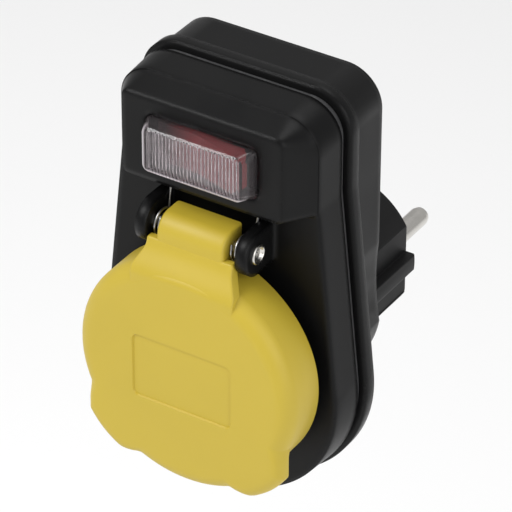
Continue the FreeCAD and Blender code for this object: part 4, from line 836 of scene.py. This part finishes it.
SCREW_PLACES = ((19.8, 60.4), (-19.8, 60.4), (21.62, -16.64), (-21.62, -16.64))
HEAD_SIDE = ((41.4, 1.2), (41.4, 2.4), (41.2, 2.5), (40.5, 2.45), (40.1, 2.2), (39.8, 1.8),
             (39.62, 1.4))
HEAD_TOP = HEAD_SIDE[-1][0]
RECESS_FLOOR = 40.5
CROSS_ARM = 1.05
CROSS_HALF = 0.26
SCREW_TIP = 50.4
THREAD_START = 50.0
THREAD_LENGTH = 8.5
SHANK_RADIUS = 1.12
RIDGE_HEIGHT = 0.18
SCREW_SIDES = 24


def screw_skin(x, z, start):
    """A screw with its head to the rear: a thread, a domed head and a cross recess."""
    rings = []

    def add_ring(level, radius_of):
        ring = []
        for j in range(SCREW_SIDES):
            turn = math.tau * j / SCREW_SIDES
            radius = radius_of(turn)
            ring.append((x + radius * math.cos(turn), -level, z + radius * math.sin(turn)))
        rings.append(ring)

    add_ring(SCREW_TIP, lambda turn: 0.15)
    for step in range(48):
        level = THREAD_START - THREAD_LENGTH * step / 47
        taper = min(1.0, (SCREW_TIP + 0.2 - level) / 1.5)
        add_ring(level, lambda turn: taper * (
            SHANK_RADIUS + RIDGE_HEIGHT * math.cos(math.tau * level + turn)))
    for level, radius in HEAD_SIDE:
        add_ring(level, lambda turn: radius)
    points = [point for ring in rings for point in ring]
    faces = bands(rings, start) + [tuple(range(start + SCREW_SIDES - 1, start - 1, -1))]
    cross = [(x + dx, z + dz) for dx, dz in cross_outline(CROSS_ARM, CROSS_HALF)]
    outer = [(px, pz) for px, _, pz in rings[-1]]
    more, triangles = fill([outer, cross], HEAD_TOP, start + len(points))
    points += more
    faces += [face[::-1] for face in triangles]
    recess = [[(px, -level, pz) for px, pz in cross] for level in (HEAD_TOP, RECESS_FLOOR)]
    faces += bands(recess, start + len(points))
    points += recess[0] + recess[1]
    more, triangles = fill([cross], RECESS_FLOOR, start + len(points))
    return points + more, faces + [face[::-1] for face in triangles]


points, faces = [], []
for x, z in SCREW_PLACES:
    more, more_faces = screw_skin(x, z, len(points))
    points, faces = points + more, faces + more_faces
screws = add_piece(
    "cross_head_screws", points, faces, steel, "housing", "housing_screws", "steel")
print("the screws have", len(screws.data.polygons), "faces")

# %% [markdown]
# ## Hinge springs
# The hinge springs are solids already, but their wire has flat sides. A subdivision
# modifier makes it round without changing its course.

# %% Round the spring wire
for name in ("left_hinge_spring", "right_hinge_spring"):
    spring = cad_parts[name]
    weld = spring.modifiers.new("weld", "WELD")
    weld.merge_threshold = 0.002 * MM
    smoother = spring.modifiers.new("round_wire", "SUBSURF")
    smoother.levels = 2
    smoother.render_levels = 2
print("spring wire is round")

# %% [markdown]
# ## Soft edges
# No moulded edge is razor sharp: each has a small radius that catches a thread of light.
# A bevel modifier adds it without touching the solid, as far as the faces beside an edge
# leave room, and the shader rounds the rest. Doubled corner points are welded first,
# because the bevel can't work across a seam in the mesh. The widths are millimetres.

# %% Round the edges a little
SOFT_EDGES = {
    "front_shell": 0.7,
    "rear_shell": 0.7,
    "plug_insert": 0.35,
    "socket_insert": 0.3,
    "shell_seal": 0.2,
    "switch_body": 0.2,
    "boot_frame": 0.15,
}
for name, width in SOFT_EDGES.items():
    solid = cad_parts[name]
    weld = solid.modifiers.new("weld", "WELD")
    weld.merge_threshold = 0.01 * MM
    bevel = solid.modifiers.new("soft_edge", "BEVEL")
    bevel.width = width * MM
    bevel.segments = 3
    bevel.limit_method = "ANGLE"
    bevel.angle_limit = math.radians(28)
    bevel.use_clamp_overlap = True
    bevel.harden_normals = True
print("softened", len(SOFT_EDGES), "solids")

# %% [markdown]
# ## Floor
# The picture is a plain product shot on an even, pale ground. One large flat square does it:
# its edges lie far outside the picture, so that only its tone shows.

# %% Floor
FLOOR_REACH = 6.0
FLOOR_HEIGHT = -0.16


def make_floor():
    corners = ((-1, -1), (1, -1), (1, 1), (-1, 1))
    mesh = bpy.data.meshes.new("floor")
    mesh.from_pydata([(x * FLOOR_REACH, y * FLOOR_REACH, 0) for x, y in corners], [],
                     [(0, 1, 2, 3)])
    floor = bpy.data.objects.new("floor", mesh)
    floor.location = (0, 0, FLOOR_HEIGHT)
    bpy.context.scene.collection.objects.link(floor)
    paint = Paint("pale_floor")
    paint.set(base_color=(0.9, 0.9, 0.9, 1.0), roughness=0.8)
    mesh.materials.append(paint.material)
    return floor


floor = make_floor()
print("floor at", floor.location.z)

# %% [markdown]
# ## Light
# A broad light from the upper left brightens the lid, and a weaker one on the right draws
# the edge of the housing. A third, from above and behind, shows the tops. Black plastic
# shows little but what it reflects, so the lights are big, and a white world fills the rest.

# %% Lights
def area_light(name, position, target, size, power):
    data = bpy.data.lights.new(name, "AREA")
    data.size = size
    data.energy = power
    light = bpy.data.objects.new(name, data)
    light.location = position
    aim = Vector(target) - Vector(position)
    light.rotation_euler = aim.to_track_quat("-Z", "Y").to_euler()
    bpy.context.scene.collection.objects.link(light)
    return light


lights = [
    area_light("key", (-0.445, -0.556, 0.70), (0, -0.05, 0.03), 0.42, 5.9),
    area_light("fill", (0.9, -0.45, 0.35), (0, -0.05, 0.02), 0.8, 4.0),
    area_light("top", (0.05, 0.25, 0.95), (0, -0.05, 0.03), 0.6, 3.1),
]
world = bpy.data.worlds.new("studio")
world.use_nodes = True
background = world.node_tree.nodes["Background"]
background.inputs["Color"].default_value = (1.0, 1.0, 1.0, 1.0)
background.inputs["Strength"].default_value = 0.48
bpy.context.scene.world = world
bpy.context.scene.view_settings.view_transform = "Standard"
print("lights:", [light.name for light in lights])

# %% [markdown]
